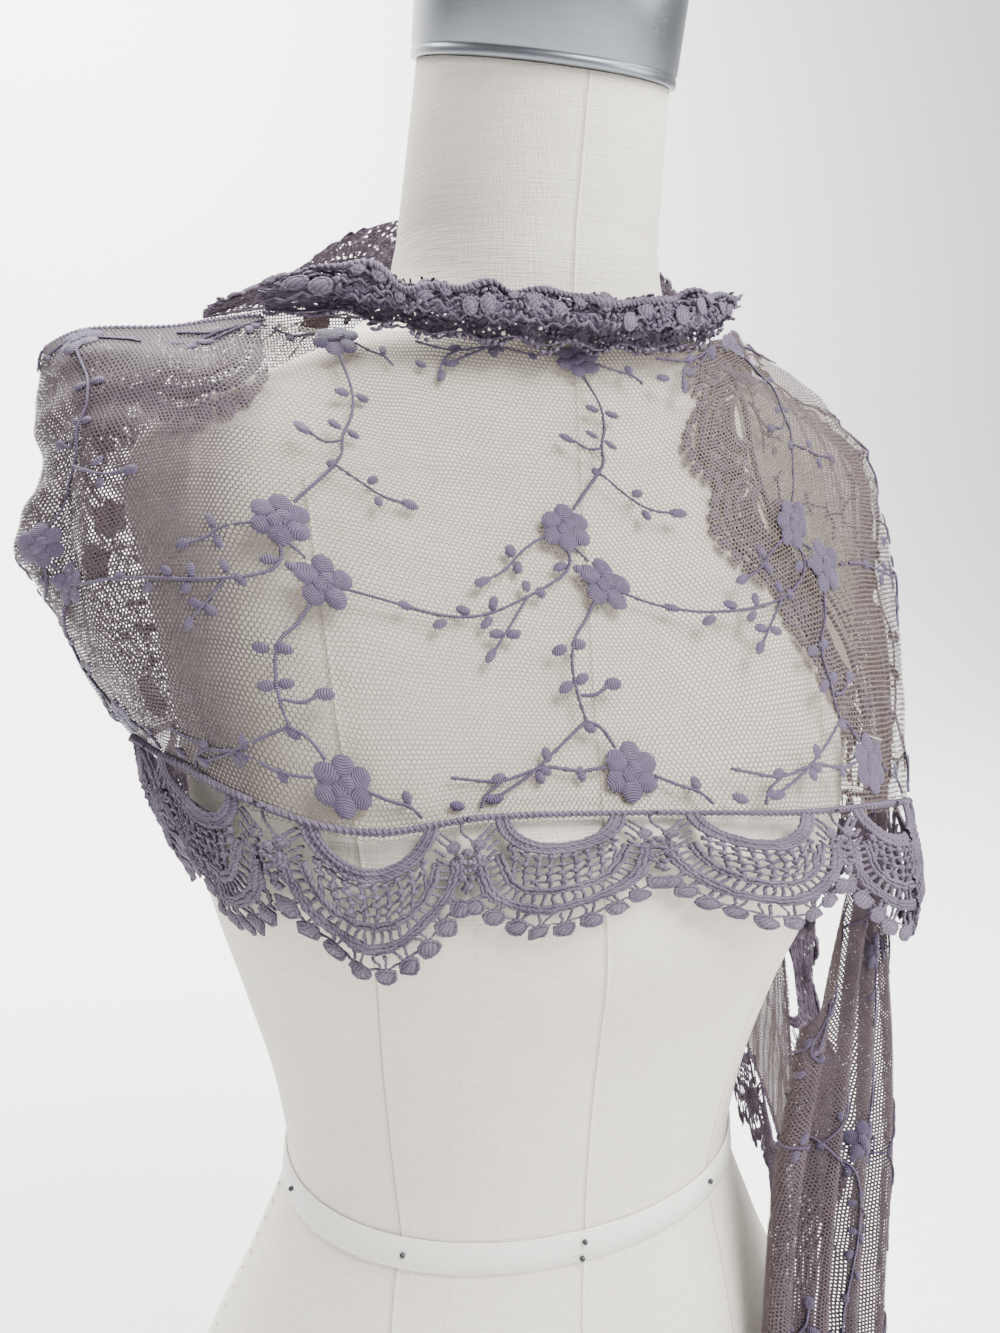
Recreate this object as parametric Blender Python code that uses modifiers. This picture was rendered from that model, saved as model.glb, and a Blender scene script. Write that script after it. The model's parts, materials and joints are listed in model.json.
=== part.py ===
"""Lace shawl wound round a limbless dress form.

Frame: metres, +Z up, origin in the middle of the form's flat underside, the
form faces -Y, and +X is the form's own left. The shawl is one long strip: its
outer stretch starts at an end that hangs behind the form's left side, comes
forward over the left shoulder, crosses the chest, rounds the right shoulder
and crosses the back, and its inner stretch passes over the left shoulder
under the outer one and hangs down in front as a tail.

The strip has flat coordinates in millimetres: u along it, 0 at the centre
front and growing to the form's left, and v across it, 0 at the neck header
and NET_WIDTH at the hem header.
"""

import bpy
import numpy as np

MM = 0.001
WAIST_Z = 300.0

NET_WALL = 1.0
LACE_WALL = 2.0
SEAM = 0.3
LACE_SEAM = 2.1
NET_WIDTH = 190.0
EDGING_WIDTH = 68.0
SCALLOP = 66.0
SCALLOP_PHASE = -92.0
FORM_CLEARANCE = 3.0
SEATED = 2.5
PRESSED = (-860, -800, -655, -625)

FORM_SEGMENTS = 34
NECK_RADIUS = 53.0
NECK_TILT = 0.29
NECK_TOP = (0.0, -19.0, 497.0)
CAP_RADIUS = 55.5
CAP_HEIGHT = 42.0
CAP_ROUND = 4.0
TAPE_WIDTH = 15.0
TAPE_WALL = 1.2

# Sections of the dress form, from its underside up, in mm from the waist:
# height, half width, depth in front, depth behind, squareness.
FORM_SECTIONS = np.array([
    (-300, 170, 112, 122, 2.20),
    (-200, 177, 119, 129, 2.20),
    (-120, 163, 113, 116, 2.20),
    (-50, 132, 102, 95, 2.15),
    (0, 114.5, 92, 87, 2.10),
    (50, 119, 98, 90, 2.10),
    (100, 132, 110, 97, 2.15),
    (150, 146, 130, 103, 2.20),
    (175, 151, 134, 106, 2.25),
    (200, 153, 130, 108, 2.30),
    (250, 160, 112, 108, 2.40),
    (300, 169, 90, 100, 2.40),
    (330, 173, 76, 90, 2.30),
    (345, 166, 70, 82, 2.20),
    (360, 145, 64, 75, 2.10),
    (375, 112, 60, 68, 2.00),
    (390, 82, 58, 62, 2.00),
    (405, 66, 58, 56, 2.00),
    (430, 58, 60, 50, 2.00),
])

# Heights at which the form has a ring.
FORM_HEIGHTS = (
    -300, -255, -215, -175, -135, -95, -55, -20, -5, 2.5, 10, 35, 65, 98, 130, 160,
    187, 215, 245, 275, 298, 316, 329, 340, 350, 360, 368, 376, 384, 392, 405, 430,
)

# Ribs of the strip, each a line across it, at five places from the neck header
# to the hem header. Columns: u, then x, y and z in mm from the waist at each.
RIB_V = (0.0, 45.0, 95.0, 145.0, NET_WIDTH)
RIBS = np.array([
    (560, 150, 96, 60, 168, 84, 25, 179, 66, -15, 187, 46, -50, 190, 26, -82),
    (500, 146, 104, 118, 166, 92, 82, 179, 72, 42, 189, 52, 2, 193, 32, -36),
    (450, 142, 108, 178, 164, 98, 142, 180, 82, 98, 190, 62, 55, 194, 44, 14),
    (405, 140, 108, 240, 163, 100, 204, 179, 86, 160, 190, 70, 117, 194, 56, 74),
    (355, 144, 94, 302, 165, 88, 266, 181, 76, 222, 190, 62, 174, 195, 52, 128),
    (305, 147, 66, 347, 170, 56, 314, 186, 45, 266, 193, 36, 210, 196, 29, 155),
    (255, 141, 38, 374, 164, 19, 347, 181, 8, 296, 190, 2, 235, 194, -2, 165),
    (205, 127, 14, 389, 144, -13, 366, 164, -30, 316, 178, -38, 247, 187, -40, 172),
    (160, 112, -1, 397, 129, -36, 371, 149, -60, 321, 166, -67, 254, 177, -67, 182),
    (112, 98, -15, 400, 104, -51, 368, 112, -75, 322, 130, -88, 258, 150, -89, 190),
    (60, 58, -46, 387, 62, -66, 348, 66, -89, 305, 72, -108, 255, 76, -123, 203),
    (0, 0, -60, 383, 0, -76, 340, 0, -97, 294, 0, -117, 251, 0, -128, 211),
    (-50, -50, -50, 387, -52, -69, 345, -52, -91, 299, -52, -112, 254, -52, -123, 213),
    (-102, -88, -26, 388, -98, -58, 352, -104, -78, 312, -103, -97, 260, -101, -107, 208),
    (-135, -120, -10, 393, -134, -42, 359, -140, -62, 318, -138, -76, 265, -133, -80, 216),
    (-170, -152, 0, 389, -162, -36, 359, -168, -47, 315, -166, -51, 265, -158, -50, 222),
    (-205, -186, 8, 386, -191, -18, 352, -198, -21, 305, -189, -22, 260, -172, -18, 224),
    (-235, -202, 18, 379, -207, 10, 343, -210, 10, 300, -195, 9, 255, -174, 6, 219),
    (-265, -192, 36, 384, -200, 46, 345, -203, 50, 300, -191, 44, 252, -172, 36, 212),
    (-310, -160, 44, 394, -182, 72, 358, -188, 86, 308, -180, 88, 258, -158, 77, 208),
    (-360, -120, 46, 404, -138, 78, 368, -144, 100, 318, -140, 110, 268, -124, 109, 215),
    (-410, -80, 54, 412, -92, 84, 374, -96, 108, 328, -94, 122, 280, -84, 124, 228),
    (-470, -28, 66, 416, -32, 90, 376, -32, 111, 331, -30, 123, 284, -28, 125, 236),
    (-530, 30, 66, 416, 34, 88, 376, 36, 108, 331, 38, 119, 284, 40, 120, 236),
    (-590, 74, 44, 410, 92, 68, 374, 98, 87, 330, 100, 98, 284, 100, 105, 236),
    (-640, 84, 10, 403, 118, 24, 380, 148, 44, 342, 158, 62, 300, 150, 68, 255),
    (-690, 84, -28, 386, 118, -14, 370, 158, 8, 349, 172, 32, 310, 166, 44, 265),
    (-740, 84, -55, 366, 114, -46, 361, 150, -28, 347, 175, 2, 320, 178, 20, 280),
    (-790, 82, -72, 336, 112, -64, 333, 148, -46, 323, 173, -20, 300, 180, 0, 262),
    (-840, 94, -85, 300, 118, -78, 296, 145, -62, 290, 167, -42, 274, 178, -20, 245),
    (-890, 121, -88, 260, 137, -80, 256, 153, -68, 251, 168, -53, 244, 177, -37, 225),
    (-935, 138, -84, 220, 150, -77, 216, 160, -69, 212, 169, -60, 208, 176, -50, 203),
])

# Outer edge of the hem lace: u, x, y, z in mm from the waist.
HEM_EDGE = np.array([
    (560, 193, -24, -116),
    (500, 197, -20, -68),
    (450, 202, -8, -22),
    (405, 203, 22, 22),
    (355, 201, 28, 66),
    (305, 199, 16, 90),
    (255, 196, -10, 100),
    (205, 187, -49, 104),
    (160, 174, -79, 112),
    (112, 156, -98, 124),
    (60, 80, -131, 153),
    (0, 0, -139, 172),
    (-50, -52, -133, 164),
    (-102, -96, -112, 149),
    (-135, -122, -88, 152),
    (-170, -137, -56, 156),
    (-205, -145, -26, 155),
    (-235, -147, 5, 152),
    (-265, -146, 34, 147),
    (-310, -139, 71, 142),
    (-360, -116, 107, 148),
    (-410, -80, 128, 160),
    (-470, -27, 130, 168),
    (-530, 38, 126, 168),
    (-590, 98, 109, 168),
    (-640, 146, 76, 188),
])

# Upper edge of the collar that stands behind the neck: u, x, y, z.
COLLAR_EDGE = np.array([
    (-318, -146, 40, 402),
    (-345, -120, 36, 410),
    (-380, -98, 34, 424),
    (-410, -78, 48, 439),
    (-450, -46, 64, 457),
    (-500, 0, 74, 461),
    (-545, 42, 66, 459),
    (-590, 72, 46, 448),
    (-625, 81, 16, 426),
    (-655, 82, -8, 414),
])

# Lower edge of the neck lace that is turned in over the right shoulder.
TURNED_EDGE = np.array([
    (-112, -100, -42, 374),
    (-135, -120, -48, 354),
    (-160, -143, -42, 348),
    (-185, -163, -31, 341),
    (-210, -174, -14, 335),
    (-240, -179, 10, 332),
    (-270, -172, 36, 334),
    (-305, -152, 50, 346),
])

# Picot edge of the inner stretch, seen through the net on the left shoulder.
PICOT_EDGE = np.array([
    (-665, 64, -42, 388),
    (-690, 53, -56, 375),
    (-740, 45, -70, 352),
    (-790, 46, -84, 323),
    (-840, 64, -90, 290),
    (-890, 96, -92, 250),
    (-935, 120, -90, 212),
])

# Where each of the two stretches bends over the left shoulder, in mm across it.
SHOULDER_BEND = {"left_shoulder_net": 46, "left_under_net": 104}

# Edge of the outer stretch's neck lace behind the left shoulder.
SHOULDER_EDGE = np.array([
    (112, 104, 22, 400),
    (160, 110, 44, 391),
    (205, 117, 66, 378),
    (255, 123, 90, 354),
    (305, 124, 108, 320),
    (355, 116, 120, 280),
    (405, 112, 124, 222),
    (450, 114, 124, 162),
    (500, 118, 120, 104),
    (560, 122, 112, 44),
])

# Roll into which the front neck lace is bunched: u of the net it is sewn to,
# then x, y, z of its middle and its size.
NECK_ROLL = np.array([
    (-122, -117, -19, 399, 0.5),
    (-110, -98, -36, 400, 0.85),
    (-68, -60, -58, 393.5, 1.0),
    (-27, -25, -68, 391, 1.05),
    (15, 15, -69, 391, 1.1),
    (47, 46, -62, 394, 1.1),
    (69, 66, -50, 399, 1.0),
    (84, 78, -41, 405, 0.6),
    (98, 88, -33, 409, 0.5),
])
ROLL_HALF_HEIGHT = 9.0
ROLL_HALF_DEPTH = 5.0
ROLL_RUFFLES = 9
ROLL_RUFFLE = 1.3
ROLL_WALL = 1.6
ROLL_SEAM = 2.5

# Tail of the strip below the shoulder: height, middle x and y, width, turn in
# degrees of its width from +X towards +Y.
TAIL_SECTIONS = np.array([
    (175, 157, -68, 54, 40),
    (140, 156, -67, 50, 34),
    (100, 152, -70, 58, 25),
    (60, 148, -75, 70, 20),
    (0, 140, -85, 80, 15),
    (-60, 133, -95, 78, 13),
    (-120, 128, -106, 76, 12),
    (-190, 124, -118, 76, 12),
    (-225, 123, -121, 76, 12),
])
# Where the tail's edge is turned in behind: height, and mm from the neck header.
TAIL_TURN = np.array([
    (150, -40),
    (120, -26),
    (90, -6),
    (60, 14),
    (25, 28),
    (-225, 32),
])
# Folds of the tail. Columns: share of what lies beyond the turn, or mm / 100 behind
# it, then share of the tail's width, and depth in front of its middle.
TAIL_FOLDS = np.array([
    (-0.74, 0.84, -15.5),
    (-0.33, 0.50, -15.0),
    (-0.12, 0.20, -14.0),
    (-0.03, 0.03, -9.0),
    (0.00, -0.01, -3.0),
    (0.06, 0.05, 5.0),
    (0.175, 0.19, -5.0),
    (0.30, 0.34, 9.0),
    (0.425, 0.47, -5.0),
    (0.55, 0.60, 9.0),
    (0.70, 0.75, -6.0),
    (0.85, 0.89, 7.0),
    (1.00, 1.00, -4.0),
])
TAIL_LACE_WIDTH = 40.0
TAIL_END = -284.0
TAIL_FREE = 150.0

# Soft folds of the net: u, v, length, width, height, turn in degrees from u.
FOLDS = np.array([
    (-172, 26, 95, 11, 5.0, 20),
    (-205, 84, 70, 9, -6.0, 85),
    (-236, 96, 34, 15, 6.0, 0),
    (-236, 58, 40, 12, -5.0, 10),
    (-122, 40, 80, 6, 2.5, 78),
    (-142, 50, 85, 6, 2.5, 96),
    (-250, 150, 80, 10, 3.5, 70),
    (-300, 110, 110, 12, 4.0, 82),
    (-345, 120, 110, 11, -4.0, 95),
    (-440, 110, 130, 14, 4.0, 92),
    (-500, 100, 120, 12, -3.0, 88),
    (30, 58, 80, 7, 2.0, 28),
    (74, 40, 80, 7, 2.5, 40),
    (92, 84, 90, 8, 2.5, 50),
    (-20, 120, 90, 8, 1.5, 32),
    (170, 90, 120, 10, 3.0, 80),
    (235, 110, 130, 12, 4.0, 88),
    (290, 100, 140, 12, -4.0, 92),
    (350, 110, 130, 12, 4.0, 90),
])

# One scallop of the hem lace, in mm of u from its left end: how far below the
# header its half-moon gap, its solid band, its cord and its edge reach.
SCALLOP_ROWS = np.array([
    (0.0, 12.0, 32.0, 42.0, 51.0),
    (4.0, 12.5, 32.0, 42.0, 51.0),
    (10.0, 11.0, 34.0, 45.0, 56.0),
    (14.5, 7.5, 36.0, 47.0, 59.0),
    (23.5, 14.5, 40.0, 51.5, 63.0),
    (33.0, 16.5, 42.0, 54.0, 67.0),
    (42.5, 14.5, 40.0, 51.5, 63.0),
    (51.5, 7.5, 36.0, 47.0, 59.0),
    (56.0, 11.0, 34.0, 45.0, 56.0),
    (62.0, 12.5, 32.0, 42.0, 51.0),
])
HEADER_DEPTH = 4.5
HALF_MOON_COLUMNS = range(3, 7)
LADDER_COLUMNS = (1, 8)
PICOT_COLUMNS = (1, 3, 6, 8)


def clear_scene():
    for obj in list(bpy.data.objects):
        bpy.data.objects.remove(obj, do_unlink=True)


def make_material(name, colour, roughness, metallic=0.0):
    material = bpy.data.materials.new(name)
    material.use_nodes = True
    shader = material.node_tree.nodes["Principled BSDF"]
    shader.inputs["Base Color"].default_value = (*colour, 1.0)
    shader.inputs["Roughness"].default_value = roughness
    shader.inputs["Metallic"].default_value = metallic
    material.diffuse_color = (*colour, 1.0)
    return material


def through(keys, rows, at):
    """Smooth curve through table rows: cubic pieces whose slope at a row is its neighbours' mean."""
    order = np.argsort(keys)
    keys = np.asarray(keys, float)[order]
    rows = np.asarray(rows, float)[order]
    at = np.clip(np.asarray(at, float), keys[0], keys[-1])
    slope = np.gradient(rows, keys, axis=0)
    left = np.clip(np.searchsorted(keys, at, side="right") - 1, 0, len(keys) - 2)
    span = keys[left + 1] - keys[left]
    t = (at - keys[left]) / span
    shape = (-1,) + (1,) * (rows.ndim - 1)
    t, span = t.reshape(shape), span.reshape(shape)
    return (
        (2 * t**3 - 3 * t**2 + 1) * rows[left]
        + (t**3 - 2 * t**2 + t) * span * slope[left]
        + (3 * t**2 - 2 * t**3) * rows[left + 1]
        + (t**3 - t**2) * span * slope[left + 1]
    )


def form_field(points):
    """Under 1 inside the dress form and over 1 outside it."""
    z = np.clip(points[..., 2], FORM_SECTIONS[0, 0], FORM_SECTIONS[-1, 0])
    width, front, back, power = (
        np.interp(z, FORM_SECTIONS[:, 0], FORM_SECTIONS[:, k]) for k in (1, 2, 3, 4)
    )
    depth = np.where(points[..., 1] < 0, front, back)
    x = np.abs(points[..., 0] / width) ** power
    y = np.abs(points[..., 1] / depth) ** power
    return (x + y + 1e-12) ** (1 / power)


def lifted(points, clearance, press=0.0):
    """Points moved straight out of the form until they are this far from it, or pressed down to there."""
    points = np.array(points, float)
    step = 0.5
    for _ in range(6):
        here = form_field(points)
        slope = np.stack(
            [
                (form_field(points + step * axis) - form_field(points - step * axis)) / (2 * step)
                for axis in np.eye(3)
            ],
            axis=-1,
        )
        steep = np.linalg.norm(slope, axis=-1)
        missing = clearance - (here - 1) / steep
        missing = np.where(missing > 0, missing, missing * press)
        points += slope / steep[..., None] * missing[..., None]
    return points


def grid_normals(points):
    along = np.gradient(points, axis=0)
    across = np.gradient(points, axis=1)
    normal = np.cross(along, across)
    return normal / np.linalg.norm(normal, axis=-1, keepdims=True)


def folded(points, u, v):
    """The net's soft folds, each a ridge that dies away at its ends."""
    u, v = np.meshgrid(u, v, indexing="ij")
    height = np.zeros_like(u)
    for at_u, at_v, length, width, rise, turn in FOLDS:
        cos, sin = np.cos(np.radians(turn)), np.sin(np.radians(turn))
        along = (u - at_u) * cos + (v - at_v) * sin
        across = (v - at_v) * cos - (u - at_u) * sin
        height += rise * np.exp(-((across / width) ** 2) - (2 * along / length) ** 4)
    normal = grid_normals(points)
    outward = np.sign(np.sum(normal * (points - [0, 0, 200]), axis=-1, keepdims=True))
    return points + normal * outward * height[..., None]


def clearance_at(u):
    """The outer stretch lies over the inner one and over the turned-in lace."""
    over_inner = np.interp(u, (0, 42), (0, 6.0))
    over_turned = np.interp(u, (-330, -305, -112, -88), (0, 5.0, 5.0, 0))
    over_form = np.interp(u, (-630, -600, -330, 0), (0.3, 0, 0, -1.0))
    return FORM_CLEARANCE + over_inner + over_turned + over_form


def net_points(u, v):
    """Places on the net for each u of the strip and each v across it."""
    ribs = through(RIBS[:, 0], RIBS[:, 1:].reshape(len(RIBS), 5, 3), u)
    points = np.stack([through(RIB_V, rib, v) for rib in ribs])
    points = folded(points, u, v)
    shape = points.shape[:2]
    clearance = np.broadcast_to(clearance_at(u)[:, None], shape)
    press = np.broadcast_to(np.interp(u, PRESSED, (0, 1, 1, 0))[:, None], shape)
    return lifted(points, clearance, press)


def lace_points(header, edge, shares, bulge):
    """Rows from a header line to an edge line, bulging out between the two."""
    shares = np.asarray(shares, float)[..., None]
    points = header[:, None] * (1 - shares) + edge[:, None] * shares
    out = header * [1, 1, 0]
    out = out / np.linalg.norm(out, axis=-1, keepdims=True)
    return points + out[:, None] * bulge * 4 * shares * (1 - shares)


def add_wall(name, points, material, wall, skip=(), offset=0.0):
    """An open surface on a grid of points, less the skipped cells, given its wall by Solidify."""
    rows, columns = points.shape[:2]
    index = np.arange(rows * columns).reshape(rows, columns)
    faces = [
        (index[i, j], index[i + 1, j], index[i + 1, j + 1], index[i, j + 1])
        for i in range(rows - 1)
        for j in range(columns - 1)
        if (i, j) not in skip
    ]
    used = np.unique(faces)
    place = np.zeros(rows * columns, int)
    place[used] = np.arange(len(used))
    standing = (points.reshape(-1, 3)[used] + [0, 0, WAIST_Z]) * MM
    mesh = bpy.data.meshes.new(name)
    mesh.from_pydata(standing.tolist(), [], place[np.array(faces)].tolist())
    mesh.update()
    obj = bpy.data.objects.new(name, mesh)
    mesh.materials.append(material)
    PART.objects.link(obj)
    solidify = obj.modifiers.new("wall", "SOLIDIFY")
    solidify.thickness = wall * MM
    solidify.offset = offset
    solidify.use_even_offset = False
    mesh.shade_smooth()
    return obj


def steps(first, last, spacing):
    """Even places from first to last, about this far apart and half a seam inside each."""
    inset = SEAM / 2 * np.sign(last - first)
    count = max(2, round(abs(last - first) / spacing) + 1)
    return np.linspace(first + inset, last - inset, count)


def form_ring(section, segments=FORM_SEGMENTS, grow=0.0):
    """One section of the form as a closed ring of points."""
    z, width, front, back, power = section
    turn = np.linspace(0, 2 * np.pi, segments, endpoint=False)
    cos, sin = np.cos(turn), np.sin(turn)
    depth = np.where(sin < 0, front, back) + grow
    x = (width + grow) * np.sign(cos) * np.abs(cos) ** (2 / power)
    y = depth * np.sign(sin) * np.abs(sin) ** (2 / power)
    return np.stack([x, y, np.full(segments, z)], axis=-1)


def add_loft(name, rings, material):
    """A closed solid through rings with equal numbers of points, with flat ends."""
    points = (np.concatenate(rings) + [0, 0, WAIST_Z]) * MM
    count, segments = len(rings), len(rings[0])
    faces = [
        (
            r * segments + s,
            r * segments + (s + 1) % segments,
            (r + 1) * segments + (s + 1) % segments,
            (r + 1) * segments + s,
        )
        for r in range(count - 1)
        for s in range(segments)
    ]
    faces.append(tuple(reversed(range(segments))))
    faces.append(tuple(range((count - 1) * segments, count * segments)))
    mesh = bpy.data.meshes.new(name)
    mesh.from_pydata(points.tolist(), [], faces)
    mesh.materials.append(material)
    obj = bpy.data.objects.new(name, mesh)
    PART.objects.link(obj)
    mesh.shade_smooth()
    mesh.set_sharp_from_angle(angle=np.radians(50))
    return obj


def add_form():
    """Padded torso and neck, from a flat underside to the tilted top of the neck."""
    heights = np.array(FORM_HEIGHTS)
    sections = np.column_stack([
        heights,
        through(FORM_SECTIONS[:, 0], FORM_SECTIONS[:, 1:], heights),
    ])
    rings = [form_ring(section) for section in sections]
    turn = np.linspace(0, 2 * np.pi, FORM_SEGMENTS, endpoint=False)
    top = np.stack(
        [
            NECK_RADIUS * np.cos(turn),
            NECK_RADIUS * np.sin(turn) * np.cos(NECK_TILT),
            NECK_RADIUS * np.sin(turn) * np.sin(NECK_TILT),
        ],
        axis=-1,
    ) + NECK_TOP
    rings.append(rings[-1] * 0.5 + top * 0.5)
    rings.append(top)
    add_loft("dress_form_body", rings, LINEN)


def add_cap():
    """Steel cap of the neck, a turned shape tilted with the neck."""
    profile = (
        (0.0, CAP_HEIGHT),
        (CAP_RADIUS - CAP_ROUND, CAP_HEIGHT),
        (CAP_RADIUS - 0.3 * CAP_ROUND, CAP_HEIGHT - 0.3 * CAP_ROUND),
        (CAP_RADIUS, CAP_HEIGHT - CAP_ROUND),
        (CAP_RADIUS, 0.0),
        (0.0, 0.0),
    )
    mesh = bpy.data.meshes.new("neck_cap")
    points = [(r * MM, 0.0, z * MM) for r, z in profile]
    mesh.from_pydata(points, [(k, k + 1) for k in range(len(points) - 1)], [])
    mesh.materials.append(STEEL)
    obj = bpy.data.objects.new("neck_cap", mesh)
    PART.objects.link(obj)
    screw = obj.modifiers.new("turn", "SCREW")
    screw.steps = screw.render_steps = FORM_SEGMENTS
    screw.use_merge_vertices = True
    screw.merge_threshold = 0.0001
    screw.use_smooth_shade = True
    seat = np.array([0.0, -np.sin(NECK_TILT), np.cos(NECK_TILT)]) * SEAM
    obj.location = (np.array(NECK_TOP) + seat + [0, 0, WAIST_Z]) * MM
    obj.rotation_euler = (NECK_TILT, 0, 0)


def add_tape():
    """Twill tape round the waist."""
    inside, outside = [], []
    for z in (-5.0, 2.5, 10.0):
        section = (z, *through(FORM_SECTIONS[:, 0], FORM_SECTIONS[:, 1:], [z])[0])
        inside.append(form_ring(section, grow=SEAM))
        outside.append(form_ring(section, grow=SEAM + TAPE_WALL))
    rings = inside[::-1] + outside
    points = (np.concatenate(rings) + [0, 0, WAIST_Z]) * MM
    count, segments = len(rings), FORM_SEGMENTS
    faces = [
        (
            r * segments + s,
            r * segments + (s + 1) % segments,
            (r + 1) % count * segments + (s + 1) % segments,
            (r + 1) % count * segments + s,
        )
        for r in range(count)
        for s in range(segments)
    ]
    mesh = bpy.data.meshes.new("waist_tape")
    mesh.from_pydata(points.tolist(), [], faces)
    mesh.materials.append(TWILL)
    obj = bpy.data.objects.new("waist_tape", mesh)
    PART.objects.link(obj)


def closer(count, bend):
    """Keys that set half of a row of places within 40 mm of the shoulder's bend."""
    keys = (0, count * 0.22, count * 0.72, count - 1)
    return keys, (0, bend - 32, bend + 32, NET_WIDTH)


def add_nets():
    """The net between the two headers, one node for each stretch that shows."""
    stretches = (
        ("front_net", 112, -128, 14.0, 17.0),
        ("right_shoulder_net", -128, -318, 11.5, 15.0),
        ("back_net", -318, -590, 19.5, 20.0),
        ("left_shoulder_net", 560, 112, 19.0, 17.5),
        ("left_under_net", -591, -935, 18.0, 17.5),
    )
    for name, first, last, spacing_u, spacing_v in stretches:
        u = steps(first, last, spacing_u)
        v = steps(0, NET_WIDTH, spacing_v)
        bend = SHOULDER_BEND.get(name)
        if bend:
            v = np.interp(np.arange(len(v)), *closer(len(v), bend))
        add_wall(name, net_points(u, v), NET, NET_WALL)


def scallop_columns(first, last):
    """The lace's columns between two places of the strip, and which column of a scallop each is."""
    start = SCALLOP_PHASE - SCALLOP / 2
    repeats = np.arange(np.floor((min(first, last) - start) / SCALLOP),
                        np.ceil((max(first, last) - start) / SCALLOP) + 1)
    u = (start + repeats[:, None] * SCALLOP + SCALLOP_ROWS[:, 0]).ravel()
    column = np.tile(np.arange(len(SCALLOP_ROWS)), len(repeats))
    keep = (u > min(first, last) + 3) & (u < max(first, last) - 3)
    u, column = u[keep], column[keep]
    u = np.concatenate([[min(first, last) + SEAM / 2], u, [max(first, last) - SEAM / 2]])
    column = np.concatenate([[(column[0] - 1) % len(SCALLOP_ROWS)], column, [(column[-1] + 1) % len(SCALLOP_ROWS)]])
    return u, column


def add_hem(name, first, last, edge_table):
    """Scalloped hem lace: header, half-moon gaps, solid band, picot gaps and discs."""
    u, column = scallop_columns(first, last)
    header = net_points(u, np.array([NET_WIDTH - 6.0, NET_WIDTH]))
    line, above = header[:, 1], header[:, 0]
    drop = (line - above) / np.linalg.norm(line - above, axis=-1, keepdims=True)
    start = line + drop * LACE_SEAM
    edge = through(edge_table[:, 0], edge_table[:, 1:], u)
    depth = SCALLOP_ROWS[column, 1:]
    rows = np.column_stack([
        np.zeros(len(u)),
        np.full(len(u), HEADER_DEPTH),
        depth,
    ]) / EDGING_WIDTH
    points = start[:, None] * (1 - rows[..., None]) + edge[:, None] * rows[..., None]
    out = start * [1, 1, 0] / np.linalg.norm(start[:, :2], axis=-1)[:, None]
    bulge = 5.0 * np.sin(np.pi * rows) + 2.0 * np.sin(2 * np.pi * (u - SCALLOP_PHASE) / SCALLOP + 1.0)[:, None] * rows
    points = lifted(points + out[:, None] * bulge[..., None], 3.0 + 1.5)
    skip = set()
    for i in range(1, len(u) - 2):
        here = column[i]
        if here in HALF_MOON_COLUMNS or here in LADDER_COLUMNS:
            skip.add((i, 1))
        if here in PICOT_COLUMNS:
            skip.add((i, 3))
    add_wall(name, points, LACE, LACE_WALL, skip)


def add_collar():
    """Neck lace that stands behind the neck, with a soft ruffled edge."""
    u = steps(-338, -655, 13.5)
    header = net_points(u, np.array([0.0, 6.0]))
    line, below = header[:, 0], header[:, 1]
    rise = (line - below) / np.linalg.norm(line - below, axis=-1, keepdims=True)
    start = line + rise * LACE_SEAM
    edge = through(COLLAR_EDGE[:, 0], COLLAR_EDGE[:, 1:], u)
    points = lace_points(start, edge, np.tile(np.linspace(0, 1, 5), (len(u), 1)), 4.0)
    ruffle = 2.0 * np.sin(np.arange(len(u)) * 2.1)[:, None] * np.linspace(0, 1, 5)
    out = start * [1, 1, 0] / np.linalg.norm(start[:, :2], axis=-1)[:, None]
    points = lifted(points + out[:, None] * ruffle[..., None], 4.0)
    skip = {(i, 2) for i in range(2, len(u) - 3, 3)}
    add_wall("neck_lace_back", points, LACE, LACE_WALL, skip)


def add_turned_lace():
    """Neck lace turned in over the right shoulder, under the net."""
    u = steps(-130, -305, 9.5)
    line, below = net_points(u, np.array([0.0, 6.0])).swapaxes(0, 1)
    rise = (line - below) / np.linalg.norm(line - below, axis=-1, keepdims=True)
    inward = np.array([-140.0, 15.0, 0.0]) - line * [1, 1, 0]
    inward = inward / np.linalg.norm(inward, axis=-1, keepdims=True)
    turn = line + rise * 1.5 + inward * 4.5
    edge = through(TURNED_EDGE[:, 0], TURNED_EDGE[:, 1:], u)
    wave = 0.06 * np.cos(2 * np.pi * u / 38.0)[:, None]
    hanging = lace_points(turn, edge, np.linspace(0, 1, 4) * (1 + wave), 0.0)
    points = np.concatenate([(line + rise * LACE_SEAM)[:, None], hanging], axis=1)
    skip = {(i, 2) for i in range(2, len(u) - 3, 3)}
    add_wall("right_turned_lace", lifted(points, SEATED), LACE, LACE_WALL, skip)


def picot_lace_rows(u):
    """Header and picot edge of the inner stretch's neck lace at each u."""
    line, beyond = net_points(u, np.array([0.0, 6.0])).swapaxes(0, 1)
    side = (line - beyond) / np.linalg.norm(line - beyond, axis=-1, keepdims=True)
    return line + side * LACE_SEAM, through(PICOT_EDGE[:, 0], PICOT_EDGE[:, 1:], u)


def add_picot_lace():
    """Neck lace of the inner stretch, lying down the left chest under the net."""
    u = steps(-668, -935, 12.0)
    header, edge = picot_lace_rows(u)
    points = lace_points(header, edge, np.tile(np.linspace(0, 1, 5), (len(u), 1)), 0.0)
    skip = {(i, 2) for i in range(1, len(u) - 2, 2)}
    press = np.interp(u, PRESSED, (0, 1, 1, 0))[:, None]
    add_wall("left_under_lace", lifted(points, SEATED, press), LACE, LACE_WALL, skip)


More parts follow.
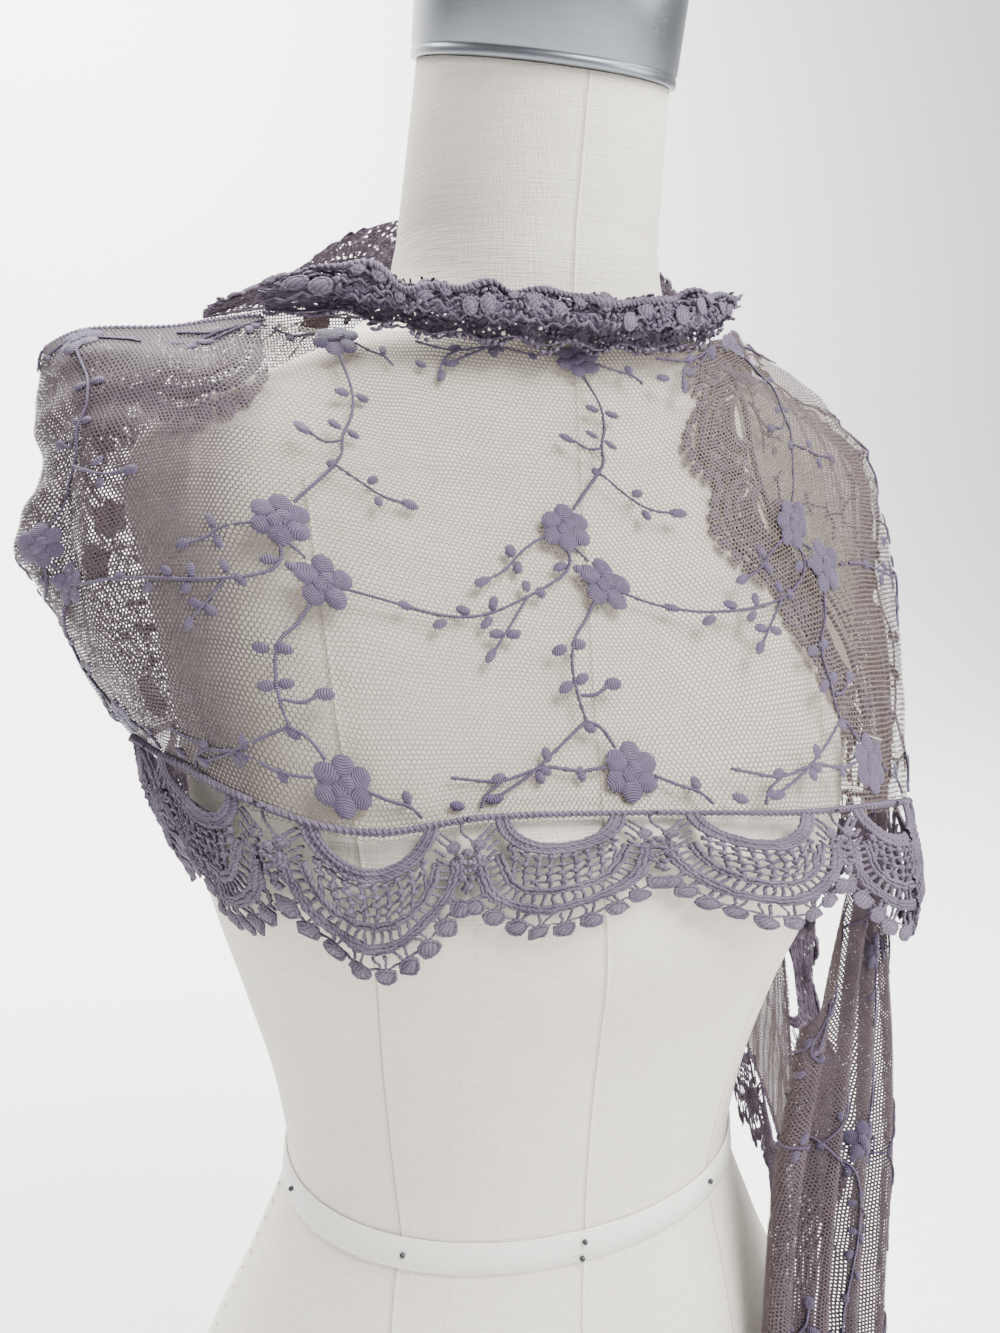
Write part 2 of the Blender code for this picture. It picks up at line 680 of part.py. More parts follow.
def add_shoulder_lace():
    """Neck lace of the outer stretch, behind the left shoulder."""
    u = steps(112, 560, 19.0)
    header = net_points(u, np.array([0.0, 6.0]))
    line, below = header[:, 0], header[:, 1]
    rise = (line - below) / np.linalg.norm(line - below, axis=-1, keepdims=True)
    start = line + rise * LACE_SEAM
    edge = through(SHOULDER_EDGE[:, 0], SHOULDER_EDGE[:, 1:], u)
    points = lace_points(start, edge, np.tile(np.linspace(0, 1, 4), (len(u), 1)), 3.0)
    skip = {(i, 1) for i in range(1, len(u) - 2, 2)}
    add_wall("neck_lace_left", lifted(points, 9.0), LACE, LACE_WALL, skip)


def add_neck_roll():
    """Front neck lace, bunched into a ruffled roll that is open below."""
    count = 23
    share = np.linspace(0, 1, count)
    path = through(np.linspace(0, 1, len(NECK_ROLL)), NECK_ROLL, share)
    middle, size = path[:, 1:4], path[:, 4]
    line, below = net_points(path[:, 0], np.array([0.0, 6.0])).swapaxes(0, 1)
    rise = (line - below) / np.linalg.norm(line - below, axis=-1, keepdims=True)
    out = np.column_stack([middle[:, 0] / 90.0, np.full(count, -1.0), np.zeros(count)])
    out = out / np.linalg.norm(out, axis=-1, keepdims=True)
    turn = np.radians([-58, -15, 35, 85, 135, 180, 200])
    ruffle = ROLL_RUFFLE * np.sin(share * ROLL_RUFFLES * 2 * np.pi)[:, None] * np.abs(np.sin(turn))
    reach = (ROLL_HALF_DEPTH + 0.6 * ruffle) * np.cos(turn)
    height = (ROLL_HALF_HEIGHT + ruffle) * np.sin(turn)
    roll = (
        middle[:, None]
        + out[:, None] * (reach * size[:, None])[..., None]
        + np.array([0.0, 0.0, 1.0]) * (height * size[:, None])[..., None]
    )
    start = line + rise * ROLL_SEAM + out * ROLL_WALL
    points = np.concatenate([start[:, None], roll], axis=1)
    skip = {(i, 4) for i in range(3, count - 4, 4)}
    add_wall("neck_lace_front", points, LACE, ROLL_WALL, skip)


def tail_frame(z):
    """Middle, width and the two directions of the tail at each height."""
    x, y, width, turn = through(TAIL_SECTIONS[:, 0], TAIL_SECTIONS[:, 1:], z).T
    turn = np.radians(turn)
    side = np.stack([np.cos(turn), np.sin(turn), np.zeros(len(z))], axis=-1)
    front = np.stack([np.sin(turn), -np.cos(turn), np.zeros(len(z))], axis=-1)
    return np.stack([x, y, z], axis=-1), width, side, front


def tail_points(z, strip):
    """Places in the tail: heights by mm across the strip from its neck header."""
    middle, width, side, front = tail_frame(z)
    turn = through(TAIL_TURN[:, 0], TAIL_TURN[:, 1], z)[:, None]
    share = strip - turn
    share = np.where(share > 0, share / (NET_WIDTH - turn), share / 100)
    folds = through(TAIL_FOLDS[:, 0], TAIL_FOLDS[:, 1:], share.ravel())
    across, depth = folds.T.reshape(2, *share.shape)
    swell = np.interp(z, (TAIL_SECTIONS[-1, 0], 60, 175), (1.1, 1.0, 0.5))[:, None]
    return (
        middle[:, None]
        + side[:, None] * (width[:, None] * (across - 0.5))[..., None]
        + front[:, None] * (swell * depth)[..., None]
    )


def run_on(first, second, points, z):
    """Points that start from the line beyond two neighbouring ones and blend into the rest below."""
    onward = second - first
    line = second + onward / np.linalg.norm(onward, axis=-1, keepdims=True) * 2 * SEAM
    blend = np.clip((z[0] - z) / (z[0] - TAIL_FREE), 0, 1)
    blend = (blend * blend * (3 - 2 * blend))[:, None, None]
    return lifted(line * (1 - blend) + points * blend, SEATED)


def add_tail():
    """The strip's lower end, gathered into upright folds, with lace behind it and below."""
    low, high = TAIL_SECTIONS[-1, 0], TAIL_SECTIONS[0, 0]
    last = np.array([RIBS[-1, 0] + 5, RIBS[-1, 0] + SEAM / 2])
    strip = np.linspace(0, NET_WIDTH, 19)
    z = np.concatenate([[high + 30, high + 12], np.linspace(high, 25, 11), np.linspace(-15, low, 6)])
    net = run_on(*net_points(last, strip), tail_points(z, strip), z)
    add_wall("tail_net", net, NET, NET_WALL)
    header, edge = picot_lace_rows(last)
    share = np.linspace(0, 1, 5)
    lines = edge[:, None] + (header - edge)[:, None] * share[:, None]
    behind = -TAIL_LACE_WIDTH + share * (TAIL_LACE_WIDTH - 2 * LACE_SEAM)
    points = run_on(*lines, tail_points(z, behind), z)
    skip = {(i, 1) for i in range(1, len(z) - 3, 2)}
    add_wall("tail_lace", points, LACE, LACE_WALL, skip)
    drop = np.array([-SEAM, -14, -30, -44, TAIL_END - low])
    points = tail_points(np.full(len(drop), low), strip)
    wave = 5.0 * np.cos(strip / SCALLOP * 2 * np.pi) * np.linspace(0, 1, len(drop))[:, None] ** 2
    points[..., 2] = low + drop[:, None] + wave
    skip = {(1, j) for j in range(3, len(strip) - 3, 4)}
    add_wall("tail_end_lace", points, LACE, LACE_WALL, skip)


def add_end_lace():
    """Short end of the outer stretch, hanging behind the left side."""
    v = steps(0, NET_WIDTH, 15.0)
    line = net_points(np.array([560.0, 554.0]), v)
    out = (line[0] - line[1]) / np.linalg.norm(line[0] - line[1], axis=-1, keepdims=True)
    out = out * 0.3 + np.array([0.05, -0.12, -0.93])
    reach = np.linspace(0, 1, 5) * (58 + 8 * np.cos(2 * np.pi * v / 38.0))[:, None]
    points = line[0][:, None] + out[:, None] * (reach + LACE_SEAM)[..., None]
    skip = {(i, 2) for i in range(1, len(v) - 2, 2)}
    add_wall("end_lace", points, LACE, LACE_WALL, skip)


clear_scene()
PART = bpy.data.collections.new("lace_shawl_on_form")
bpy.context.scene.collection.children.link(PART)
LINEN = make_material("ivory_linen", (0.72, 0.66, 0.53), 0.85)
STEEL = make_material("brushed_steel_cap", (0.45, 0.46, 0.48), 0.35, 1.0)
TWILL = make_material("white_twill_tape", (0.80, 0.79, 0.74), 0.8)
NET = make_material("mauve_net", (0.33, 0.27, 0.28), 0.8)
LACE = make_material("lavender_crochet", (0.24, 0.21, 0.29), 0.85)

add_form()
add_cap()
add_tape()
add_nets()
add_hem("hem_lace_front", 112, -128, HEM_EDGE)
add_hem("hem_lace_right", -128, -318, HEM_EDGE)
add_hem("hem_lace_back", -318, -640, HEM_EDGE)
add_hem("hem_lace_left", 560, 112, HEM_EDGE)
add_neck_roll()
add_collar()
add_turned_lace()
add_picot_lace()
add_shoulder_lace()
add_tail()
add_end_lace()
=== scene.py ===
"""The lace shawl on its dress form, in the form and looks of the photograph.

Flat coordinates of the shawl are in millimetres: u runs along the strip, 0 at
the centre front and growing to the form's left, and v runs across it, 0 at the
neck header and NET_WIDTH at the hem header. Tables hold mm from the waist.
"""

import json

import bpy
import numpy as np
from mathutils import Matrix

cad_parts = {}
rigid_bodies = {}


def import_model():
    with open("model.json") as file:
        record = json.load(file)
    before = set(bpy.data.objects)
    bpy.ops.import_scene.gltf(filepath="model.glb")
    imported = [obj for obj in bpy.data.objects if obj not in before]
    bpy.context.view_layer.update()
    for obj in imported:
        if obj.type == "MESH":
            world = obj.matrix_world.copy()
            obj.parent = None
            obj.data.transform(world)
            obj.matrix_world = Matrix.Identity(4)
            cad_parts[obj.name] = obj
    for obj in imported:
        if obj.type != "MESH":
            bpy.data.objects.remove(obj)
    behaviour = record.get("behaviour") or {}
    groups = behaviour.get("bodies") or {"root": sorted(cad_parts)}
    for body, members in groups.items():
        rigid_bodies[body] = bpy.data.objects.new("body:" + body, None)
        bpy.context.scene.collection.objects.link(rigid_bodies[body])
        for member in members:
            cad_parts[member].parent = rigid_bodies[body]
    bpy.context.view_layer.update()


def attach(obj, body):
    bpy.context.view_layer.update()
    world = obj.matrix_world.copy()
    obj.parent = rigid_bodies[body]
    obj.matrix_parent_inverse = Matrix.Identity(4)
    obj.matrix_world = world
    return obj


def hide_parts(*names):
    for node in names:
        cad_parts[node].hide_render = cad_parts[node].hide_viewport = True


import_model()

MM = 0.001
WAIST_Z = 300.0

NET_WALL = 1.0
LACE_WALL = 2.0
SEAM = 0.3
LACE_SEAM = 2.1
NET_WIDTH = 190.0
EDGING_WIDTH = 68.0
SCALLOP = 66.0
SCALLOP_PHASE = -92.0
FORM_CLEARANCE = 3.0
SEATED = 2.5
PRESSED = (-860, -800, -655, -625)

FORM_SEGMENTS = 34
NECK_RADIUS = 53.0
NECK_TILT = 0.29
NECK_TOP = (0.0, -19.0, 497.0)
CAP_RADIUS = 55.5
CAP_HEIGHT = 42.0
CAP_ROUND = 4.0
TAPE_WIDTH = 15.0
TAPE_WALL = 1.2

# Sections of the dress form, from its underside up, in mm from the waist:
# height, half width, depth in front, depth behind, squareness.
FORM_SECTIONS = np.array([
    (-300, 170, 112, 122, 2.20),
    (-200, 177, 119, 129, 2.20),
    (-120, 163, 113, 116, 2.20),
    (-50, 132, 102, 95, 2.15),
    (0, 114.5, 92, 87, 2.10),
    (50, 119, 98, 90, 2.10),
    (100, 132, 110, 97, 2.15),
    (150, 146, 130, 103, 2.20),
    (175, 151, 134, 106, 2.25),
    (200, 153, 130, 108, 2.30),
    (250, 160, 112, 108, 2.40),
    (300, 169, 90, 100, 2.40),
    (330, 173, 76, 90, 2.30),
    (345, 166, 70, 82, 2.20),
    (360, 145, 64, 75, 2.10),
    (375, 112, 60, 68, 2.00),
    (390, 82, 58, 62, 2.00),
    (405, 66, 58, 56, 2.00),
    (430, 58, 60, 50, 2.00),
])

# Heights at which the form has a ring.
FORM_HEIGHTS = (
    -300, -255, -215, -175, -135, -95, -55, -20, -5, 2.5, 10, 35, 65, 98, 130, 160,
    187, 215, 245, 275, 298, 316, 329, 340, 350, 360, 368, 376, 384, 392, 405, 430,
)

# Ribs of the strip, each a line across it, at five places from the neck header
# to the hem header. Columns: u, then x, y and z in mm from the waist at each.
RIB_V = (0.0, 45.0, 95.0, 145.0, NET_WIDTH)
RIBS = np.array([
    (560, 150, 96, 60, 168, 84, 25, 179, 66, -15, 187, 46, -50, 190, 26, -82),
    (500, 146, 104, 118, 166, 92, 82, 179, 72, 42, 189, 52, 2, 193, 32, -36),
    (450, 142, 108, 178, 164, 98, 142, 180, 82, 98, 190, 62, 55, 194, 44, 14),
    (405, 140, 108, 240, 163, 100, 204, 179, 86, 160, 190, 70, 117, 194, 56, 74),
    (355, 144, 94, 302, 165, 88, 266, 181, 76, 222, 190, 62, 174, 195, 52, 128),
    (305, 147, 66, 347, 170, 56, 314, 186, 45, 266, 193, 36, 210, 196, 29, 155),
    (255, 141, 38, 374, 164, 19, 347, 181, 8, 296, 190, 2, 235, 194, -2, 165),
    (205, 127, 14, 389, 144, -13, 366, 164, -30, 316, 178, -38, 247, 187, -40, 172),
    (160, 112, -1, 397, 129, -36, 371, 149, -60, 321, 166, -67, 254, 177, -67, 182),
    (112, 98, -15, 400, 104, -51, 368, 112, -75, 322, 130, -88, 258, 150, -89, 190),
    (60, 58, -46, 387, 62, -66, 348, 66, -89, 305, 72, -108, 255, 76, -123, 203),
    (0, 0, -60, 383, 0, -76, 340, 0, -97, 294, 0, -117, 251, 0, -128, 211),
    (-50, -50, -50, 387, -52, -69, 345, -52, -91, 299, -52, -112, 254, -52, -123, 213),
    (-102, -88, -26, 388, -98, -58, 352, -104, -78, 312, -103, -97, 260, -101, -107, 208),
    (-135, -120, -10, 393, -134, -42, 359, -140, -62, 318, -138, -76, 265, -133, -80, 216),
    (-170, -152, 0, 389, -162, -36, 359, -168, -47, 315, -166, -51, 265, -158, -50, 222),
    (-205, -186, 8, 386, -191, -18, 352, -198, -21, 305, -189, -22, 260, -172, -18, 224),
    (-235, -202, 18, 379, -207, 10, 343, -210, 10, 300, -195, 9, 255, -174, 6, 219),
    (-265, -192, 36, 384, -200, 46, 345, -203, 50, 300, -191, 44, 252, -172, 36, 212),
    (-310, -160, 44, 394, -182, 72, 358, -188, 86, 308, -180, 88, 258, -158, 77, 208),
    (-360, -120, 46, 404, -138, 78, 368, -144, 100, 318, -140, 110, 268, -124, 109, 215),
    (-410, -80, 54, 412, -92, 84, 374, -96, 108, 328, -94, 122, 280, -84, 124, 228),
    (-470, -28, 66, 416, -32, 90, 376, -32, 111, 331, -30, 123, 284, -28, 125, 236),
    (-530, 30, 66, 416, 34, 88, 376, 36, 108, 331, 38, 119, 284, 40, 120, 236),
    (-590, 74, 44, 410, 92, 68, 374, 98, 87, 330, 100, 98, 284, 100, 105, 236),
    (-640, 84, 10, 403, 118, 24, 380, 148, 44, 342, 158, 62, 300, 150, 68, 255),
    (-690, 84, -28, 386, 118, -14, 370, 158, 8, 349, 172, 32, 310, 166, 44, 265),
    (-740, 84, -55, 366, 114, -46, 361, 150, -28, 347, 175, 2, 320, 178, 20, 280),
    (-790, 82, -72, 336, 112, -64, 333, 148, -46, 323, 173, -20, 300, 180, 0, 262),
    (-840, 94, -85, 300, 118, -78, 296, 145, -62, 290, 167, -42, 274, 178, -20, 245),
    (-890, 121, -88, 260, 137, -80, 256, 153, -68, 251, 168, -53, 244, 177, -37, 225),
    (-935, 138, -84, 220, 150, -77, 216, 160, -69, 212, 169, -60, 208, 176, -50, 203),
])

# Outer edge of the hem lace: u, x, y, z in mm from the waist.
HEM_EDGE = np.array([
    (560, 193, -24, -116),
    (500, 197, -20, -68),
    (450, 202, -8, -22),
    (405, 203, 22, 22),
    (355, 201, 28, 66),
    (305, 199, 16, 90),
    (255, 196, -10, 100),
    (205, 187, -49, 104),
    (160, 174, -79, 112),
    (112, 156, -98, 124),
    (60, 80, -131, 153),
    (0, 0, -139, 172),
    (-50, -52, -133, 164),
    (-102, -96, -112, 149),
    (-135, -122, -88, 152),
    (-170, -137, -56, 156),
    (-205, -145, -26, 155),
    (-235, -147, 5, 152),
    (-265, -146, 34, 147),
    (-310, -139, 71, 142),
    (-360, -116, 107, 148),
    (-410, -80, 128, 160),
    (-470, -27, 130, 168),
    (-530, 38, 126, 168),
    (-590, 98, 109, 168),
    (-640, 146, 76, 188),
])

# Upper edge of the collar that stands behind the neck: u, x, y, z.
COLLAR_EDGE = np.array([
    (-318, -146, 40, 402),
    (-345, -120, 36, 410),
    (-380, -98, 34, 424),
    (-410, -78, 48, 439),
    (-450, -46, 64, 457),
    (-500, 0, 74, 461),
    (-545, 42, 66, 459),
    (-590, 72, 46, 448),
    (-625, 81, 16, 426),
    (-655, 82, -8, 414),
])

# Lower edge of the neck lace that is turned in over the right shoulder.
TURNED_EDGE = np.array([
    (-112, -100, -42, 374),
    (-135, -120, -48, 354),
    (-160, -143, -42, 348),
    (-185, -163, -31, 341),
    (-210, -174, -14, 335),
    (-240, -179, 10, 332),
    (-270, -172, 36, 334),
    (-305, -152, 50, 346),
])

# Picot edge of the inner stretch, seen through the net on the left shoulder.
PICOT_EDGE = np.array([
    (-665, 64, -42, 388),
    (-690, 53, -56, 375),
    (-740, 45, -70, 352),
    (-790, 46, -84, 323),
    (-840, 64, -90, 290),
    (-890, 96, -92, 250),
    (-935, 120, -90, 212),
])

# Where each of the two stretches bends over the left shoulder, in mm across it.
SHOULDER_BEND = {"left_shoulder_net": 46, "left_under_net": 104}

# Edge of the outer stretch's neck lace behind the left shoulder.
SHOULDER_EDGE = np.array([
    (112, 104, 22, 400),
    (160, 110, 44, 391),
    (205, 117, 66, 378),
    (255, 123, 90, 354),
    (305, 124, 108, 320),
    (355, 116, 120, 280),
    (405, 112, 124, 222),
    (450, 114, 124, 162),
    (500, 118, 120, 104),
    (560, 122, 112, 44),
])

# Roll into which the front neck lace is bunched: u of the net it is sewn to,
# then x, y, z of its middle and its size.
NECK_ROLL = np.array([
    (-122, -117, -19, 399, 0.5),
    (-110, -98, -36, 400, 0.85),
    (-68, -60, -58, 393.5, 1.0),
    (-27, -25, -68, 391, 1.05),
    (15, 15, -69, 391, 1.1),
    (47, 46, -62, 394, 1.1),
    (69, 66, -50, 399, 1.0),
    (84, 78, -41, 405, 0.6),
    (98, 88, -33, 409, 0.5),
])
ROLL_HALF_HEIGHT = 9.0
ROLL_HALF_DEPTH = 5.0
ROLL_RUFFLES = 9
ROLL_RUFFLE = 1.3
ROLL_WALL = 1.6
ROLL_SEAM = 2.5

# Tail of the strip below the shoulder: height, middle x and y, width, turn in
# degrees of its width from +X towards +Y.
TAIL_SECTIONS = np.array([
    (175, 157, -68, 54, 40),
    (140, 156, -67, 50, 34),
    (100, 152, -70, 58, 25),
    (60, 148, -75, 70, 20),
    (0, 140, -85, 80, 15),
    (-60, 133, -95, 78, 13),
    (-120, 128, -106, 76, 12),
    (-190, 124, -118, 76, 12),
    (-225, 123, -121, 76, 12),
])
# Where the tail's edge is turned in behind: height, and mm from the neck header.
TAIL_TURN = np.array([
    (150, -40),
    (120, -26),
    (90, -6),
    (60, 14),
    (25, 28),
    (-225, 32),
])
# Folds of the tail. Columns: share of what lies beyond the turn, or mm / 100 behind
# it, then share of the tail's width, and depth in front of its middle.
TAIL_FOLDS = np.array([
    (-0.74, 0.84, -15.5),
    (-0.33, 0.50, -15.0),
    (-0.12, 0.20, -14.0),
    (-0.03, 0.03, -9.0),
    (0.00, -0.01, -3.0),
    (0.06, 0.05, 5.0),
    (0.175, 0.19, -5.0),
    (0.30, 0.34, 9.0),
    (0.425, 0.47, -5.0),
    (0.55, 0.60, 9.0),
    (0.70, 0.75, -6.0),
    (0.85, 0.89, 7.0),
    (1.00, 1.00, -4.0),
])
TAIL_LACE_WIDTH = 40.0
TAIL_END = -284.0
TAIL_FREE = 150.0

# Soft folds of the net: u, v, length, width, height, turn in degrees from u.
FOLDS = np.array([
    (-172, 26, 95, 11, 5.0, 20),
    (-205, 84, 70, 9, -6.0, 85),
    (-236, 96, 34, 15, 6.0, 0),
    (-236, 58, 40, 12, -5.0, 10),
    (-122, 40, 80, 6, 2.5, 78),
    (-142, 50, 85, 6, 2.5, 96),
    (-250, 150, 80, 10, 3.5, 70),
    (-300, 110, 110, 12, 4.0, 82),
    (-345, 120, 110, 11, -4.0, 95),
    (-440, 110, 130, 14, 4.0, 92),
    (-500, 100, 120, 12, -3.0, 88),
    (30, 58, 80, 7, 2.0, 28),
    (74, 40, 80, 7, 2.5, 40),
    (92, 84, 90, 8, 2.5, 50),
    (-20, 120, 90, 8, 1.5, 32),
    (170, 90, 120, 10, 3.0, 80),
    (235, 110, 130, 12, 4.0, 88),
    (290, 100, 140, 12, -4.0, 92),
    (350, 110, 130, 12, 4.0, 90),
])

# One scallop of the hem lace, in mm of u from its left end: how far below the
# header its half-moon gap, its solid band, its cord and its edge reach.
SCALLOP_ROWS = np.array([
    (0.0, 12.0, 32.0, 42.0, 51.0),
    (4.0, 12.5, 32.0, 42.0, 51.0),
    (10.0, 11.0, 34.0, 45.0, 56.0),
    (14.5, 7.5, 36.0, 47.0, 59.0),
    (23.5, 14.5, 40.0, 51.5, 63.0),
    (33.0, 16.5, 42.0, 54.0, 67.0),
    (42.5, 14.5, 40.0, 51.5, 63.0),
    (51.5, 7.5, 36.0, 47.0, 59.0),
    (56.0, 11.0, 34.0, 45.0, 56.0),
    (62.0, 12.5, 32.0, 42.0, 51.0),
])
HEADER_DEPTH = 4.5
HALF_MOON_COLUMNS = range(3, 7)
LADDER_COLUMNS = (1, 8)
PICOT_COLUMNS = (1, 3, 6, 8)
def through(keys, rows, at):
    """Smooth curve through table rows: cubic pieces whose slope at a row is its neighbours' mean."""
    order = np.argsort(keys)
    keys = np.asarray(keys, float)[order]
    rows = np.asarray(rows, float)[order]
    at = np.clip(np.asarray(at, float), keys[0], keys[-1])
    slope = np.gradient(rows, keys, axis=0)
    left = np.clip(np.searchsorted(keys, at, side="right") - 1, 0, len(keys) - 2)
    span = keys[left + 1] - keys[left]
    t = (at - keys[left]) / span
    shape = (-1,) + (1,) * (rows.ndim - 1)
    t, span = t.reshape(shape), span.reshape(shape)
    return (
        (2 * t**3 - 3 * t**2 + 1) * rows[left]
        + (t**3 - 2 * t**2 + t) * span * slope[left]
        + (3 * t**2 - 2 * t**3) * rows[left + 1]
        + (t**3 - t**2) * span * slope[left + 1]
    )


def form_field(points):
    """Under 1 inside the dress form and over 1 outside it."""
    z = np.clip(points[..., 2], FORM_SECTIONS[0, 0], FORM_SECTIONS[-1, 0])
    width, front, back, power = (
        np.interp(z, FORM_SECTIONS[:, 0], FORM_SECTIONS[:, k]) for k in (1, 2, 3, 4)
    )
    depth = np.where(points[..., 1] < 0, front, back)
    x = np.abs(points[..., 0] / width) ** power
    y = np.abs(points[..., 1] / depth) ** power
    return (x + y + 1e-12) ** (1 / power)


def lifted(points, clearance, press=0.0):
    """Points moved straight out of the form until they are this far from it, or pressed down to there."""
    points = np.array(points, float)
    step = 0.5
    for _ in range(6):
        here = form_field(points)
        slope = np.stack(
            [
                (form_field(points + step * axis) - form_field(points - step * axis)) / (2 * step)
                for axis in np.eye(3)
            ],
            axis=-1,
        )
        steep = np.linalg.norm(slope, axis=-1)
        missing = clearance - (here - 1) / steep
        missing = np.where(missing > 0, missing, missing * press)
        points += slope / steep[..., None] * missing[..., None]
    return points


def grid_normals(points):
    along = np.gradient(points, axis=0)
    across = np.gradient(points, axis=1)
    normal = np.cross(along, across)
    return normal / np.linalg.norm(normal, axis=-1, keepdims=True)


def folded(points, u, v):
    """The net's soft folds, each a ridge that dies away at its ends."""
    u, v = np.meshgrid(u, v, indexing="ij")
    height = np.zeros_like(u)
    for at_u, at_v, length, width, rise, turn in FOLDS:
        cos, sin = np.cos(np.radians(turn)), np.sin(np.radians(turn))
        along = (u - at_u) * cos + (v - at_v) * sin
        across = (v - at_v) * cos - (u - at_u) * sin
        height += rise * np.exp(-((across / width) ** 2) - (2 * along / length) ** 4)
    normal = grid_normals(points)
    outward = np.sign(np.sum(normal * (points - [0, 0, 200]), axis=-1, keepdims=True))
    return points + normal * outward * height[..., None]


def clearance_at(u):
    """The outer stretch lies over the inner one and over the turned-in lace."""
    over_inner = np.interp(u, (0, 42), (0, 6.0))
    over_turned = np.interp(u, (-330, -305, -112, -88), (0, 5.0, 5.0, 0))
    over_form = np.interp(u, (-630, -600, -330, 0), (0.3, 0, 0, -1.0))
    return FORM_CLEARANCE + over_inner + over_turned + over_form


def net_points(u, v):
    """Places on the net for each u of the strip and each v across it."""
    ribs = through(RIBS[:, 0], RIBS[:, 1:].reshape(len(RIBS), 5, 3), u)
    points = np.stack([through(RIB_V, rib, v) for rib in ribs])
    points = folded(points, u, v)
    shape = points.shape[:2]
    clearance = np.broadcast_to(clearance_at(u)[:, None], shape)
    press = np.broadcast_to(np.interp(u, PRESSED, (0, 1, 1, 0))[:, None], shape)
    return lifted(points, clearance, press)


def lace_points(header, edge, shares, bulge):
    """Rows from a header line to an edge line, bulging out between the two."""
    shares = np.asarray(shares, float)[..., None]
    points = header[:, None] * (1 - shares) + edge[:, None] * shares
    out = header * [1, 1, 0]
    out = out / np.linalg.norm(out, axis=-1, keepdims=True)
    return points + out[:, None] * bulge * 4 * shares * (1 - shares)


# Surfaces. Each is worked out on a fine grid once, and read between its points.


class Surface:
    """A cloth surface over two flat coordinates, with its outward normal."""

    def __init__(self, points, first, second):
        self.points, self.first, self.second = points, first, second
        normal = grid_normals(points)
        outward = np.sign(np.mean(np.sum(normal * (points - [0, 0, 200]), axis=-1)))
        self.normal = normal * outward

    def place(self, a, b):
        """Grid cell and the shares across it of flat coordinates a and b."""
        i = np.interp(a, self.first, np.arange(len(self.first)))
        j = np.interp(b, self.second, np.arange(len(self.second)))
        low_i = np.minimum(i.astype(int), len(self.first) - 2)
        low_j = np.minimum(j.astype(int), len(self.second) - 2)
        return low_i, low_j, (i - low_i)[..., None], (j - low_j)[..., None]

    def read(self, grid, a, b):
        i, j, s, t = self.place(a, b)
        return (
            grid[i, j] * (1 - s) * (1 - t)
            + grid[i + 1, j] * s * (1 - t)
            + grid[i, j + 1] * (1 - s) * t
            + grid[i + 1, j + 1] * s * t
        )

    def at(self, flat):
        """Places of flat points (a, b, height above the cloth)."""
        a, b, height = flat[..., 0], flat[..., 1], flat[..., 2]
        return self.read(self.points, a, b) + self.read(self.normal, a, b) * height[..., None]


def axis(first, last, spacing):
    return np.linspace(min(first, last), max(first, last), int(abs(last - first) / spacing) + 2)


# Fine creases along the strip: u from which they hold, their pitch across it and height.
CREASES = np.array([
    (-935, 14.0, 2.2),
    (-600, 14.0, 2.2),
    (-560, 19.0, 0.6),
    (-330, 19.0, 0.6),
    (112, 19.0, 0.5),
    (560, 19.0, 0.8),
])


def creased(surface):
    """Fine creases: height h (1 + sin(2 pi v / pitch + slow waves)), unequal from one to the next."""
    u, v = np.meshgrid(surface.first, surface.second, indexing="ij")
    pitch, height = (np.interp(u, CREASES[:, 0], CREASES[:, k]) for k in (1, 2))
    phase = 2 * np.pi * v / pitch + 1.4 * np.sin(u / 41.0) + 0.9 * np.sin(u / 17.0 + v / 60.0)
    uneven = 0.72 + 0.28 * np.sin(u / 29.0 + v / 23.0)
    rise = height * uneven * (1 + np.sin(phase)) * np.sin(np.pi * v / NET_WIDTH) ** 0.35
    return Surface(surface.points + surface.normal * rise[..., None], surface.first, surface.second)


def net_surface():
    u = axis(-935, 560, 2.5)
    v = axis(0, NET_WIDTH, 2.5)
    return creased(Surface(net_points(u, v), u, v))


def unit(vectors):
    return vectors / np.linalg.norm(vectors, axis=-1, keepdims=True)


def lace_surface(start, edge, u, bulge, clearance, waves=0.0):
    """From a header line to an edge line, bulging out between the two, over depths 0 to 68 mm.

    Past the edge line it runs on straight, for the discs that hang below it.
    """
    depth = axis(-4, 76, 3.0)
    share = depth / EDGING_WIDTH
    points = start[:, None] * (1 - share)[:, None] + edge[:, None] * share[:, None]
    out = unit(start * [1, 1, 0])
    inner = np.clip(share, 0, 1)
    rise = bulge * np.sin(np.pi * inner)
    rise = rise + waves * np.sin(2 * np.pi * (u - SCALLOP_PHASE) / SCALLOP + 1.0)[:, None] * inner
    points = points + out[:, None] * rise[..., None]
    return Surface(lifted(points, clearance), u, depth)


def hem_surface(first, last):
    """Lace below the hem header, as in the solids: bulge 5 sin(pi d) + 2 sin(2 pi u / scallop) d."""
    u = axis(first, last, 3.0)
    line, above = net_points(u, np.array([NET_WIDTH, NET_WIDTH - 6.0])).swapaxes(0, 1)
    start = line + unit(line - above) * SEAM
    edge = through(HEM_EDGE[:, 0], HEM_EDGE[:, 1:], u)
    return lace_surface(start, edge, u, 5.0, 4.5, 2.0)


def neck_line(u):
    """The neck header and the direction away from the net there."""
    line, below = net_points(u, np.array([0.0, 6.0])).swapaxes(0, 1)
    return line, unit(line - below)


def collar_surface():
    """Lace that stands behind the neck, its edge ruffled by 2 mm."""
    u = axis(-338, -655, 3.0)
    line, rise = neck_line(u)
    edge = through(COLLAR_EDGE[:, 0], COLLAR_EDGE[:, 1:], u)
    return lace_surface(line + rise * SEAM, edge, u, 4.0, 4.0, 2.0)


def shoulder_lace_surface():
    """Lace of the outer stretch behind the left shoulder."""
    u = axis(112, 560, 3.0)
    line, rise = neck_line(u)
    edge = through(SHOULDER_EDGE[:, 0], SHOULDER_EDGE[:, 1:], u)
    return lace_surface(line + rise * SEAM, edge, u, 3.0, 9.0)


